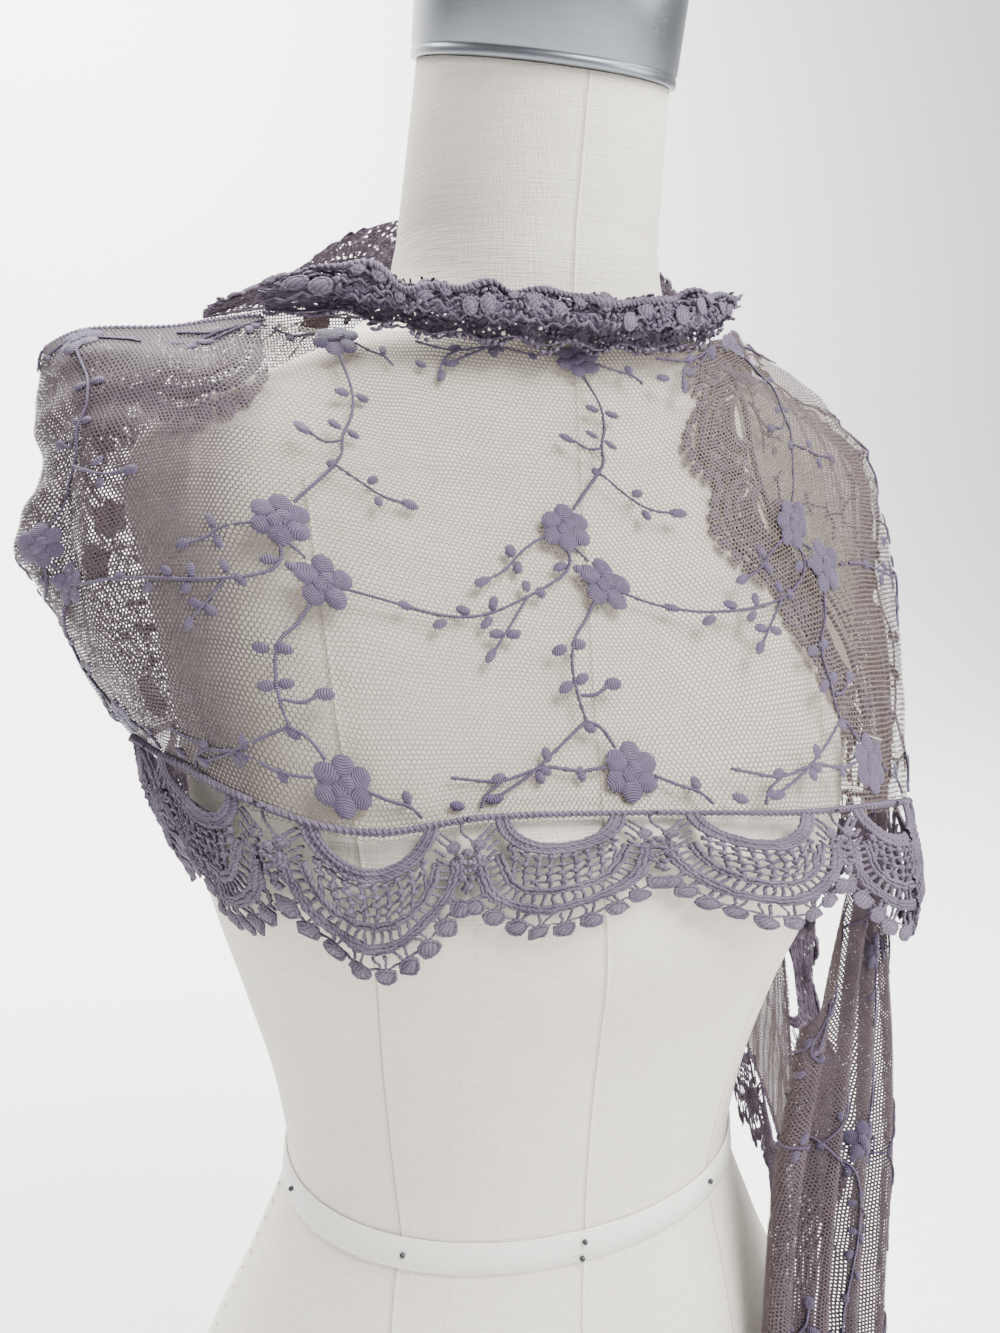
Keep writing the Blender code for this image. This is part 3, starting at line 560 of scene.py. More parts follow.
def picot_surface():
    """Lace of the inner stretch down the left chest, pressed to the form as in the solids."""
    u = axis(-668, -935, 3.0)
    line, side = neck_line(u)
    edge = through(PICOT_EDGE[:, 0], PICOT_EDGE[:, 1:], u)
    surface = lace_surface(line + side * SEAM, edge, u, 0.0, SEATED)
    press = np.interp(u, PRESSED, (0, 1, 1, 0))[:, None]
    return Surface(lifted(surface.points, SEATED, press), u, surface.second)


def turned_surface():
    """Lace turned in over the right shoulder: over the header, then down inside the net."""
    u = axis(-130, -305, 3.0)
    line, rise = neck_line(u)
    inward = unit(np.array([-140.0, 15.0, 0.0]) - line * [1, 1, 0])
    turn = line + rise * 1.5 + inward * 4.5
    edge = through(TURNED_EDGE[:, 0], TURNED_EDGE[:, 1:], u)
    depth = axis(-4, 76, 3.0)
    keys = np.array([-4.0, 0.0, 7.0, 68.0, 76.0])
    rows = np.stack([line, line + rise * SEAM, turn, edge, edge + (edge - turn) * 0.13])
    at = np.interp(depth, keys, np.arange(5))
    low = np.minimum(at.astype(int), 3)
    share = (at - low)[:, None, None]
    points = (rows[low] * (1 - share) + rows[low + 1] * share).swapaxes(0, 1)
    return Surface(lifted(points, SEATED), u, depth)


def roll_surface():
    """Neck lace bunched into a roll: up behind it from the header, over its top and down its face.

    Its second coordinate is the length round the roll, from the header to the free edge.
    """
    u = axis(-122, 98, 2.0)
    path = through(NECK_ROLL[:, 0], NECK_ROLL, u)
    middle, size = path[:, 1:4], path[:, 4]
    out = unit(np.column_stack([middle[:, 0] / 90.0, np.full(len(u), -1.0), np.zeros(len(u))]))
    turn = np.radians(-np.linspace(70, 405, 40))
    wave = np.sin((u - u[0]) / (u[-1] - u[0]) * ROLL_RUFFLES * 2 * np.pi)[:, None]
    ruffle = ROLL_RUFFLE * wave * np.abs(np.sin(turn))
    reach = (ROLL_HALF_DEPTH - 0.6 + 0.6 * ruffle) * np.cos(turn)
    height = (ROLL_HALF_HEIGHT - 0.6 + ruffle) * np.sin(turn)
    points = (
        middle[:, None]
        + out[:, None] * (reach * size[:, None])[..., None]
        + np.array([0.0, 0.0, 1.0]) * (height * size[:, None])[..., None]
    )
    around = np.concatenate([[0], np.cumsum(np.hypot(np.diff(5 * np.cos(turn)), np.diff(9 * np.sin(turn))))])
    surface = Surface(points, u, around)
    away = np.sum(surface.normal * (points - middle[:, None]), axis=-1)
    surface.normal = surface.normal * np.sign(np.mean(away))
    return surface


def tail_frame(z):
    """Middle, width and the two directions of the tail at each height."""
    x, y, width, turn = through(TAIL_SECTIONS[:, 0], TAIL_SECTIONS[:, 1:], z).T
    turn = np.radians(turn)
    side = np.stack([np.cos(turn), np.sin(turn), np.zeros(len(z))], axis=-1)
    front = np.stack([np.sin(turn), -np.cos(turn), np.zeros(len(z))], axis=-1)
    return np.stack([x, y, z], axis=-1), width, side, front


def tail_points(z, strip):
    """Places in the tail: heights by mm across the strip from its neck header."""
    middle, width, side, front = tail_frame(z)
    turn = through(TAIL_TURN[:, 0], TAIL_TURN[:, 1], z)[:, None]
    share = strip - turn
    share = np.where(share > 0, share / (NET_WIDTH - turn), share / 100)
    folds = through(TAIL_FOLDS[:, 0], TAIL_FOLDS[:, 1:], share.ravel())
    across, depth = folds.T.reshape(2, *share.shape)
    swell = np.interp(z, (TAIL_SECTIONS[-1, 0], 60, 175), (1.1, 1.0, 0.5))[:, None]
    return (
        middle[:, None]
        + side[:, None] * (width[:, None] * (across - 0.5))[..., None]
        + front[:, None] * (swell * depth)[..., None]
    )


def run_on(first, second, points, z):
    """Points that start from the line beyond two neighbouring ones and blend into the rest below."""
    onward = second - first
    line = second + onward / np.linalg.norm(onward, axis=-1, keepdims=True) * 2 * SEAM
    blend = np.clip((z[0] - z) / (z[0] - TAIL_FREE), 0, 1)
    blend = (blend * blend * (3 - 2 * blend))[:, None, None]
    return lifted(line * (1 - blend) + points * blend, SEATED)


def tail_heights(spacing):
    return axis(TAIL_SECTIONS[-1, 0], TAIL_SECTIONS[0, 0] + 30, spacing)[::-1]


def tail_surface(strip, first, second):
    """Part of the tail over heights and mm across the strip, from the inner stretch's end on.

    Its first coordinate runs on from the strip's u at one mm for each mm down.
    """
    z = tail_heights(3.0)
    points = run_on(first, second, tail_points(z, strip), z)
    u = RIBS[-1, 0] - (z[0] - z)
    return Surface(points[::-1], u[::-1], strip)


def tail_net_surface():
    strip = axis(0, NET_WIDTH, 2.5)
    last = np.array([RIBS[-1, 0] + 5.0, RIBS[-1, 0]])
    return tail_surface(strip, *net_points(last, strip))


def tail_lace_surface():
    """Lace behind the tail: depth 0 at the header and 68 at its edge."""
    last = np.array([RIBS[-1, 0] + 5.0, RIBS[-1, 0]])
    line, side = neck_line(last)
    header = line + side * SEAM
    edge = through(PICOT_EDGE[:, 0], PICOT_EDGE[:, 1:], last)
    depth = axis(-4, 76, 3.0)
    share = depth / EDGING_WIDTH
    lines = header[:, None] + (edge - header)[:, None] * share[:, None]
    surface = tail_surface(-share * TAIL_LACE_WIDTH, *lines)
    surface.second = depth
    return surface


def tail_end_surface():
    """Lace across the tail's lower end: first coordinate across the strip, second down."""
    low = TAIL_SECTIONS[-1, 0]
    strip = axis(0, NET_WIDTH, 2.0)
    depth = axis(-4, 76, 3.0)
    share = np.clip(depth / EDGING_WIDTH, 0, 1.1)
    points = tail_points(np.full(len(depth), low), strip)
    wave = 5.0 * np.cos(strip / SCALLOP * 2 * np.pi) * share[:, None] ** 2
    points[..., 2] = low + share[:, None] * (TAIL_END - low) + wave
    return Surface(points.swapaxes(0, 1), strip, depth)


def end_surface():
    """Lace across the outer stretch's hanging end."""
    v = axis(0, NET_WIDTH, 2.0)
    line, before = net_points(np.array([560.0, 554.0]), v)
    out = unit(line - before) * 0.3 + np.array([0.05, -0.12, -0.93])
    depth = axis(-4, 76, 3.0)
    reach = depth / EDGING_WIDTH * (58 + 8 * np.cos(2 * np.pi * v / 38.0))[:, None]
    points = line[:, None] + out[:, None] * (reach + SEAM)[..., None]
    return Surface(points, v, depth)


# Small shapes in flat coordinates, as (points, quads, stitch) arrays. stitch is
# each point's place along and across the thread, in mm.


def grid_quads(rows, columns, closed=False):
    """Quads of a grid of rows x columns points, closed round its columns if asked."""
    i, j = np.meshgrid(np.arange(rows - 1), np.arange(columns if closed else columns - 1), indexing="ij")
    k = (j + 1) % columns
    return np.stack([i * columns + j, (i + 1) * columns + j, (i + 1) * columns + k, i * columns + k], -1).reshape(-1, 4)


def joined(shapes):
    """Several shapes as one, the quads of each moved on past the points before it."""
    counts = np.cumsum([0] + [len(shape[0]) for shape in shapes[:-1]])
    return (
        np.concatenate([shape[0] for shape in shapes]),
        np.concatenate([shape[1] + count for shape, count in zip(shapes, counts)]),
        np.concatenate([shape[2] for shape in shapes]),
    )


def knobs(centres, radii, turn, rings=4, sectors=6):
    """Small ellipsoids: point = centre + turned (a sin p cos q, b sin p sin q, c cos p)."""
    centres = np.asarray(centres, float)
    radii = np.broadcast_to(radii, centres.shape)
    polar = np.linspace(0.06, np.pi - 0.06, rings)[:, None]
    round_ = np.linspace(0, 2 * np.pi, sectors, endpoint=False)
    ball = np.stack(
        [np.sin(polar) * np.cos(round_), np.sin(polar) * np.sin(round_), np.cos(polar) + 0 * round_], axis=-1
    ).reshape(-1, 3)
    local = ball * radii[:, None]
    cos, sin = np.cos(turn)[:, None], np.sin(turn)[:, None]
    points = np.stack(
        [local[..., 0] * cos - local[..., 1] * sin, local[..., 0] * sin + local[..., 1] * cos, local[..., 2]], axis=-1
    ) + centres[:, None]
    quads = grid_quads(rings, sectors, True)
    quads = (quads + np.arange(len(centres))[:, None, None] * len(ball)).reshape(-1, 4)
    stitch = local[..., :2] + centres[:, None, :2]
    return points.reshape(-1, 3), quads, stitch.reshape(-1, 2)


def tube(path, radius, sides=5, knot=0.0, pitch=3.1):
    """Thread along a path: ring r(s) (side cos q, up sin q), r(s) = radius (1 + knot sin(2 pi s / pitch))."""
    path = np.asarray(path, float)
    tangent = unit(np.gradient(path, axis=0))
    side = unit(np.stack([-tangent[:, 1], tangent[:, 0] + 1e-6, 0 * tangent[:, 0]], axis=-1))
    up = np.cross(tangent, side)
    run = np.concatenate([[0], np.cumsum(np.linalg.norm(np.diff(path, axis=0), axis=-1))])
    turn = np.linspace(0, 2 * np.pi, sides, endpoint=False)
    size = radius * (1 + knot * np.sin(2 * np.pi * run / pitch))
    ring = side[:, None] * np.cos(turn)[:, None] + up[:, None] * np.sin(turn)[:, None]
    points = path[:, None] + ring * np.asarray(size)[:, None, None]
    stitch = np.stack(np.broadcast_arrays(run[:, None], turn * radius), axis=-1)
    return points.reshape(-1, 3), grid_quads(len(path), sides, True), stitch.reshape(-1, 2)


def smooth(points, spacing):
    """A path through listed points, in even steps of about this length."""
    points = np.asarray(points, float)
    run = np.concatenate([[0], np.cumsum(np.linalg.norm(np.diff(points, axis=0), axis=-1))])
    return through(run, points, np.linspace(0, run[-1], max(3, int(run[-1] / spacing) + 1)))


def petals(centres, sizes, turn, height, rings=5, sectors=10):
    """Satin-stitched lobes: a flat oval whose height is height (1 - r^4), stitched across its length."""
    centres, sizes = np.asarray(centres, float), np.asarray(sizes, float)
    share = np.linspace(0.04, 1.0, rings)[:, None]
    round_ = np.linspace(0, 2 * np.pi, sectors, endpoint=False)
    x = share * np.cos(round_)
    y = share * np.sin(round_)
    rise = (1 - share**4) + 0 * round_
    flat = np.stack([x, y], axis=-1).reshape(-1, 2)
    local = flat * sizes[:, None]
    cos, sin = np.cos(turn)[:, None], np.sin(turn)[:, None]
    a = local[..., 0] * cos - local[..., 1] * sin + centres[:, None, 0]
    b = local[..., 0] * sin + local[..., 1] * cos + centres[:, None, 1]
    c = np.broadcast_to(rise.ravel() * height, a.shape) + centres[:, None, 2]
    quads = grid_quads(rings, sectors, True)
    quads = (quads + np.arange(len(centres))[:, None, None] * len(flat)).reshape(-1, 4)
    along = local[..., 0] - 0.10 * local[..., 1] ** 2
    stitch = np.stack([along, local[..., 1]], axis=-1)
    return np.stack([a, b, c], axis=-1).reshape(-1, 3), quads, stitch.reshape(-1, 2)


# The embroidery's repeat, charted in whole mm from the twin flower's middle.

COLUMN = 102.0
ROW = 170.0
# Flowers: u, v, petals, turn of the first petal in degrees.
FLOWERS = np.array([
    (1, 178, 6, 90),
    (-12, 96, 6, 90),
    (0, 115, 5, 54),
])
FLOWER_RADIUS = 5.7
PETAL = (4.1, 3.8)
# Leaves and buds: u, v, length, width, turn in degrees.
LEAVES = np.array([
    (5, 34, 6, 3.5, 175), (13, 34, 6, 3.5, 8), (3, 49, 5.5, 3.5, 205), (10, 51, 5.5, 3.4, 20),
    (-7, 55, 6.5, 4, 215), (3, 67, 4.5, 3.6, 120), (18, 70, 5, 3.5, 320), (20, 79, 5, 3.5, 80),
    (32, 77, 7, 4.4, 10), (-34, 100, 6, 3.7, 240), (-32, 107, 5.5, 3.6, 70), (-46, 108, 6.5, 4, 175),
    (-16, 111, 6, 3.6, 170), (-9, 112, 5, 3.4, 12), (-25, 119, 5, 3.5, 50), (-30, 115, 5, 3.4, 250),
    (-43, 117, 5.5, 3.6, 270), (-46, 123, 5.5, 3.6, 150), (-54, 117, 6, 3.6, 205), (-63, 122, 6, 3.6, 155),
    (-75, 117, 5.5, 3.4, 5), (-43, 128, 6, 3.6, 200), (-37, 130, 6, 3.6, 20), (-46, 135, 6, 3.6, 130),
    (-21, 140, 6, 3.8, 178), (-14, 139, 6, 3.8, 3), (-20, 152, 6, 3.8, 160), (-14, 150, 5.5, 3.6, 340),
    (-3, 151, 6.5, 4.2, 350), (-13, 165, 5, 3.5, 25), (-29, 172, 5.5, 3.6, 250), (-32, 179, 5, 3.6, 60),
    (-48, 185, 6, 3.5, 170), (22, 181, 5, 3.5, 250), (-17, 179, 5, 3.4, 250), (-30, 177, 5, 3.4, 20),
    (-47, 178, 5.5, 3.6, 160), (-62, 186, 6, 3.6, 200), (-50, 185, 6, 3.5, 20), (-53, 191, 6, 3.6, 110),
])
# Stems, each a row of u, v.
STEMS = (
    ((3, 17), (6, 25), (9, 34), (9, 42), (6, 54), (6, 62), (4, 67)),
    ((6, 55), (0, 58), (-6, 55)),
    ((4, 67), (15, 73), (21, 76), (30, 77)),
    ((4, 67), (-2, 78), (-8, 88)),
    ((-20, 99), (-30, 102), (-37, 106), (-45, 108)),
    ((-11, 103), (-5, 108)),
    ((-13, 103), (-12, 109), (-14, 113), (-21, 117), (-30, 119), (-42, 120), (-60, 119), (-78, 117), (-96, 116)),
    ((-30, 119), (-39, 128), (-45, 134)),
    ((-5, 123), (-10, 131), (-15, 137), (-17, 146), (-16, 155), (-14, 163)),
    ((-15, 155), (-10, 155), (-4, 151)),
    ((-14, 163), (-9, 165), (-4, 171)),
    ((-14, 163), (-20, 167), (-27, 172), (-36, 178), (-47, 184)),
    ((9, 179), (17, 182), (23, 184), (27, 188)),
    ((-8, 177), (-17, 178), (-30, 176), (-47, 179), (-64, 176)),
    ((-44, 178), (-52, 184), (-54, 190)),
)
STEM_RADIUS = 0.6


def drift(u):
    """How far the cloth is drawn up between its headers where it crosses the chest, in mm."""
    return 21.0 * np.exp(-(((u + 12.0) / 31.0) ** 2))


def embroidery(first, last):
    """Flowers, leaves and stems of every repeat whose middle lies between two places of the strip."""
    low, high = min(first, last), max(first, last)
    columns = np.arange(np.floor(low / COLUMN) - 1, np.ceil(high / COLUMN) + 2) * COLUMN
    columns = columns - 4.0 * (columns == COLUMN)
    shapes = []
    for column in columns:
        for row in (0.0, -ROW):
            for u, v, count, turn in FLOWERS:
                angle = np.radians(turn + np.arange(count) * 360 / count)
                centre = np.array([u + column, v + row])
                if not (low <= centre[0] < high and 4 <= centre[1] <= NET_WIDTH):
                    continue
                around = centre + FLOWER_RADIUS * np.stack([np.cos(angle), np.sin(angle)], axis=-1)
                lift = np.where(np.arange(int(count)) % 2, 0.1, 0.3)
                places = np.column_stack([around, lift])
                shapes.append(petals(places, np.tile(PETAL, (int(count), 1)), angle, 0.8))
                middle = np.array([(*centre, 0.5), (*(centre + (1.2, -1.4)), 0.7), (*(centre + (-1.4, 1.2)), 0.6)])
                shapes.append(petals(middle, np.full((3, 2), 2.4), np.array([0.3, 1.4, 2.6]), 0.9, 5, 10))
            leaf = LEAVES + [column, row, 0, 0, 0]
            keep = (leaf[:, 0] >= low) & (leaf[:, 0] < high) & (leaf[:, 1] > 3) & (leaf[:, 1] < NET_WIDTH - 2)
            leaf = leaf[keep]
            if len(leaf):
                places = np.column_stack([leaf[:, :2], np.full(len(leaf), 0.1)])
                shapes.append(petals(places, leaf[:, 2:4] / 2, np.radians(leaf[:, 4]), 0.8, 4, 10))
            for stem in STEMS:
                path = smooth(np.array(stem, float) + [column, row], 2.0)
                keep = (path[:, 0] >= low) & (path[:, 0] < high) & (path[:, 1] > 1) & (path[:, 1] < NET_WIDTH - 1)
                path = path[keep]
                if len(path) > 2:
                    path = np.column_stack([path, np.full(len(path), 0.35)])
                    shapes.append(tube(path, STEM_RADIUS, 4, 0.15, 1.4))
    points, quads, stitch = joined(shapes)
    shift = drift(points[:, 0]) * np.sin(np.pi * np.clip(points[:, 1], 0, NET_WIDTH) / NET_WIDTH)
    points[:, 1] = points[:, 1] - shift
    return points, quads, stitch


# The crochet edging's repeat, in mm from a scallop's middle: along the header
# and down from it. Half of each band is given, the other half mirrors it.

# Square mesh of clusters under the half-moon: half width, depth and reach of each arc.
CLUSTER_ARCS = np.array([
    (24.5, 21.6, 19.0),
    (27.0, 25.4, 18.5),
    (29.0, 29.2, 16.5),
    (30.0, 33.0, 13.0),
])
CLUSTER_PITCH = 4.4
# Band round the clusters, and the outer band, both from the tip to the valley.
INNER_BAND = np.array([(0, 37.5), (7, 36.8), (13, 34.2), (17.6, 29.5), (20.4, 24), (22.4, 17)])
OUTER_BAND = np.array([(0, 47), (8, 46), (15.5, 42.6), (21.8, 37.2), (26.4, 30.5), (28.6, 24), (29.4, 17)])
# Discs on half of the free edge.
DISCS = ((0, 60), (9.2, 57.5), (17.5, 52.5), (24.8, 46), (30.8, 39.0))
DISC_RADIUS = 4.1
ROSETTE = (33.0, 21.0)
RUNGS = 12
# The chart's lowest disc against the edging's full depth.
DEPTH_SHARE = 1.04


def cord(fine, points, radius, height=0.3, knot=0.25):
    """A thread along listed points of its flat route."""
    path = smooth(points, 1.4 if fine else 3.6)
    path = np.column_stack([path, np.full(len(path), height)])
    return tube(path, radius, 5 if fine else 4, knot)


def band(fine, points, offsets, radius):
    """Threads side by side along one route, each this far to the side of it."""
    path = smooth(points, 1.4 if fine else 3.6)
    along = unit(np.gradient(path, axis=0))
    side = np.stack([-along[:, 1], along[:, 0]], axis=-1)
    rows = []
    for k, offset in enumerate(offsets):
        moved = path + side * offset
        path_3d = np.column_stack([moved, np.full(len(path), 0.3 + 0.35 * (k % 2))])
        rows.append(tube(path_3d, radius, 5 if fine else 4, 0.28))
    return joined(rows)


def disc(fine, centre, radius):
    """A crocheted disc: a slightly domed pad of close rows inside a rim of thread."""
    steps = 13 if fine else 9
    turn = np.linspace(0, 2 * np.pi, steps)
    ring = np.column_stack([
        centre[0] + (radius - 0.5) * np.cos(turn),
        centre[1] + (radius - 0.5) * np.sin(turn),
        np.full(steps, 0.4),
    ])
    pad = petals([(*centre, 0.2)], [(radius - 0.3, radius - 0.3)], np.array([0.4 * np.sin(centre[0])]), 1.2, 4, steps - 1)
    return joined([tube(ring, 0.7, 5 if fine else 4, 0.15), pad])


def crochet_repeat(fine):
    """One scallop, in fine or coarser steps: two-ply header, U-shaped band, mesh of clusters, rungs, outer band and discs."""
    shapes = []
    x = np.linspace(-33, 33, 61 if fine else 41)
    for ply in (0.0, np.pi):
        wind = 2 * np.pi * x / 4.4 + ply
        shapes.append(tube(np.column_stack([x, 1.0 + 0.8 * np.sin(wind), 0.4 + 0.8 * np.cos(wind)]), 1.1))
    sweep = np.radians(np.linspace(-90, 90, 40))
    moon = np.column_stack([20.2 * np.sin(sweep), 1.0 + 16.2 * np.cos(sweep)])
    shapes.append(band(fine, moon, (-1.9, -0.6, 0.7, 2.0), 0.95))
    columns = (np.arange(9) - 4) * CLUSTER_PITCH
    for width, depth, reach in CLUSTER_ARCS:
        x = columns[np.abs(columns) <= reach]
        y = 1.0 + (depth - 1.0) * np.sqrt(1 - (x / width) ** 2)
        wave = np.column_stack([x + 0.5 * np.sin(1.7 * x + depth), y + 0.5 * np.sin(2.3 * x + depth), np.full(len(x), 0.4)])
        shapes.append(knobs(wave, (1.75, 1.45, 1.15), 0.5 * np.sin(x + depth)))
        x = np.linspace(-reach, reach, int(reach))
        y = 1.0 + (depth - 1.0) * np.sqrt(1 - (x / width) ** 2) + 0.5 * np.sin(1.4 * x)
        shapes.append(tube(np.column_stack([x, y, np.full(len(x), 0.2)]), 0.62, 4, 0.2))
    for x in columns:
        top = 1.0 + 17.5 * np.sqrt(max(1 - (x / 22.5) ** 2, 0.0))
        low = np.interp(abs(x), INNER_BAND[:, 0], INNER_BAND[:, 1])
        shapes.append(cord(fine, ((x * 0.94, top), (x + 0.5, (top + low) / 2), (x * 0.98, low)), 0.8, 0.2))
    for side in (-1, 1):
        turned = np.array([side, 1.0])
        shapes.append(band(fine, INNER_BAND * turned, (-0.9, 0.9), 0.95))
        shapes.append(band(fine, OUTER_BAND * turned, (-1.5, 0.0, 1.5), 1.0))
        inner = smooth(INNER_BAND, 0.5)
        outer = smooth(OUTER_BAND, 0.5)
        for rung in (np.arange(RUNGS) + 0.5 * (side > 0)) / RUNGS + 0.02:
            start = inner[min(int(rung * len(inner)), len(inner) - 1)]
            end = outer[min(int(rung * len(outer)), len(outer) - 1)]
            shapes.append(cord(fine, np.array([start, (start + end) / 2 + (0.4, 0.4), end]) * turned, 0.72, 0.15))
        for place in DISCS[(side < 0):]:
            centre = np.array(place) * turned
            shapes.append(disc(fine, centre, DISC_RADIUS))
            pull = centre * (0.80, 0.835)
            shapes.append(cord(fine, (pull - (2.2, 0), (pull + centre) / 2 - (1.2, 0.6), centre - (1.2, 2.8)), 0.6, 0.2))
            shapes.append(cord(fine, (pull + (2.2, 0), (pull + centre) / 2 + (1.2, -0.6), centre + (1.2, -2.8)), 0.6, 0.2))
        chain = np.array(DISCS) - (0, 3.2)
        shapes.append(cord(fine, chain * turned, 0.55, 0.1))
        for start, end in (((22, 6), (27.5, 12.5)), ((23.6, 4.6), (29.2, 10.5)), ((22.6, 15), (28, 20)), ((22, 11), (26, 15))):
            shapes.append(cord(fine, np.array([start, end]) * turned, 0.7, 0.15))
        shapes.append(disc(fine, np.array((28.6, 12.0)) * turned, 2.6))
        shapes.append(cord(fine, np.array([(27.5, 18.0), (29.5, 14.5)]) * turned, 0.8, 0.15))
        shapes.append(cord(fine, np.array([(28.5, 24), (33, 29), (33, 33)]) * turned, 0.9, 0.2))
    shapes.append(cord(fine, ((31, 1.5), (31.6, 6), (35.4, 11), (36, 16)), 0.6, 0.1))
    turn = np.arange(9) * 2 * np.pi / 9
    for radius, size in ((4.9, 1.9), (2.4, 1.7)):
        ring = np.column_stack([
            ROSETTE[0] + radius * np.cos(turn * (1 + (radius < 3))), ROSETTE[1] + 1.15 * radius * np.sin(turn), np.full(9, 0.5),
        ])
        shapes.append(knobs(ring, (size, size * 0.85, 1.2), turn))
    shapes.append(knobs([(33, 30.5, 0.3), (33, 15, 0.4)], (2.6, 2.2, 1.3), np.zeros(2)))
    return joined(shapes)


REPEAT = crochet_repeat(True)
FAR_REPEAT = crochet_repeat(False)


def within(points, quads, stitch, low, high):
    """Only the quads whose points lie between two places along the edging."""
    inside = (points[:, 0] >= low) & (points[:, 0] <= high)
    quads = quads[inside[quads].all(axis=1)]
    used = np.unique(quads)
    order = np.zeros(len(points), int)
    order[used] = np.arange(len(used))
    return points[used], order[quads], stitch[used]


def edging(first, last, middle=SCALLOP_PHASE, repeat=REPEAT):
    """Scallops side by side between two places along the header, slightly uneven."""
    low, high = min(first, last), max(first, last)
    count = np.arange(np.floor((low - middle) / SCALLOP) - 1, np.ceil((high - middle) / SCALLOP) + 2)
    centres = middle + count * SCALLOP
    points, quads, stitch = repeat
    moved = points + np.stack([centres, 0 * centres, 0 * centres], axis=-1)[:, None]
    moved = moved.reshape(-1, 3) * (1.0, DEPTH_SHARE, 1.0)
    a, b = moved[:, 0], moved[:, 1]
    loose = np.clip(b / 30, 0, 1)
    moved = moved + loose[:, None] * np.stack(
        [
            0.7 * np.sin(0.19 * b + 0.047 * a) + 0.35 * np.sin(1.1 * b + 0.37 * a),
            0.9 * np.sin(0.131 * a + 1.0) + 0.35 * np.sin(0.9 * a - 0.41 * b),
            0.8 * np.sin(0.21 * a + 0.17 * b) + 0.3 * np.sin(0.77 * a + 0.9 * b),
        ],
        axis=-1,
    )
    quads = (quads + (np.arange(len(centres)) * len(points))[:, None, None]).reshape(-1, 4)
    return within(moved, quads, np.tile(stitch, (len(centres), 1)), low, high)


def bunched_edging(first, last, around):
    """Crochet drawn up into a roll: uneven clusters round it, a wavy cord along its face and discs."""
    shapes = []
    u = np.arange(first, last, 2.7)
    for row, place in enumerate(np.arange(2.0, around - 6, 3.0)):
        centres = np.column_stack([u + 1.35 * (row % 2), np.full(len(u), place), np.full(len(u), 0.2)])
        centres[:, 0] += 0.9 * np.sin(2.3 * u + 1.3 * row)
        centres[:, 1] += 1.2 * np.sin(0.37 * u + row) + 0.6 * np.sin(1.9 * u)
        centres[:, 2] += 1.3 * np.sin(0.33 * u + 1.1 * row) + 0.7 * np.sin(2.1 * u + row)
        shapes.append(knobs(centres, (1.7, 1.0, 0.9), 1.2 * np.sin(1.7 * u + row)))
        fine = np.arange(first, last, 2.1)
        path = np.column_stack([
            fine,
            place + 1.6 + 1.3 * np.sin(0.9 * fine + row) + 0.8 * np.sin(0.31 * fine),
            0.4 + 1.2 * np.sin(0.29 * fine + 2 * row),
        ])
        shapes.append(tube(path, 0.62, 4, 0.25))
    fine = np.arange(first + 1, last - 1, 1.1)
    face = around - 15.5
    sway = 2.6 * np.sin(0.075 * fine + 0.6) + 1.1 * np.sin(0.23 * fine)
    swell = 2.4 + 0.7 * np.sin(0.12 * fine + 1.0)
    for ply in (0.0, np.pi):
        wind = 2 * np.pi * fine / 4.2 + ply
        path = np.column_stack([fine, face + sway + 0.7 * np.sin(wind), swell + 0.7 * np.cos(wind)])
        shapes.append(tube(path, 0.85, 5))
    for row in (-5.0, -9.0, -13.0):
        for place in np.arange(first + 2, last - 5, 4.6):
            tilt = 1.6 * np.sin(1.3 * place + row)
            start = (place, face + row + 3.0)
            loop = (start, (place + tilt + 1.2, face + row), (place + tilt + 3.4, face + row + 0.4), (place + 4.4, face + row + 3.2))
            shapes.append(cord(True, loop, 0.55, 1.3 + 0.8 * np.sin(0.7 * place)))
    place, k = first + 9.0, 0
    while place < last - 8:
        lower = 3.6 + 3.6 * np.sin(1.9 * k) + 1.2 * np.sin(0.09 * place)
        points, quads, stitch = disc(True, np.array([place, face + lower]), 3.1 + 0.5 * np.sin(2.7 * k))
        points[:, 2] += 1.4 + 0.8 * np.sin(1.1 * k) + 0.16 * (points[:, 0] - place) * np.sin(3.1 * k)
        shapes.append((points, quads, stitch))
        place += 6.6 + 4.2 * np.abs(np.sin(1.37 * k))
        k += 1
    return joined(shapes)


# The dress form, its cap and its tape.

RING_POINTS = 108
# Seams of the cover, from the neck down: height and place. The front and back
# seam and the princess seams are placed by x, the side seams by y.
FRONT_SEAM = np.array([(430, 0), (362, 1), (250, -9), (180, -12), (101, -2), (3, 3), (-34, 0), (-300, -4)])
PRINCESS_SEAM = np.array([(330, 108), (280, 105), (240, 102), (199, 97), (142, 90), (10, 74), (-30, 80), (-300, 104)])
SIDE_SEAM = np.array([(330, 4), (200, 4), (0, 6), (-60, 14), (-300, 16)])


def form_rows(heights, grow=0.0):
    sections = through(FORM_SECTIONS[:, 0], FORM_SECTIONS[:, 1:], heights)
    turn = np.linspace(0, 2 * np.pi, RING_POINTS, endpoint=False)
    width, front, back, power = (sections[:, k, None] for k in range(4))
    cos, sin = np.cos(turn), np.sin(turn)
    depth = np.where(sin < 0, front, back) + grow
    x = (width + grow) * np.sign(cos) * np.abs(cos) ** (2 / power)
    y = depth * np.sign(sin) * np.abs(sin) ** (2 / power)
    return np.stack([x, y, np.broadcast_to(np.asarray(heights, float)[:, None], x.shape)], axis=-1)


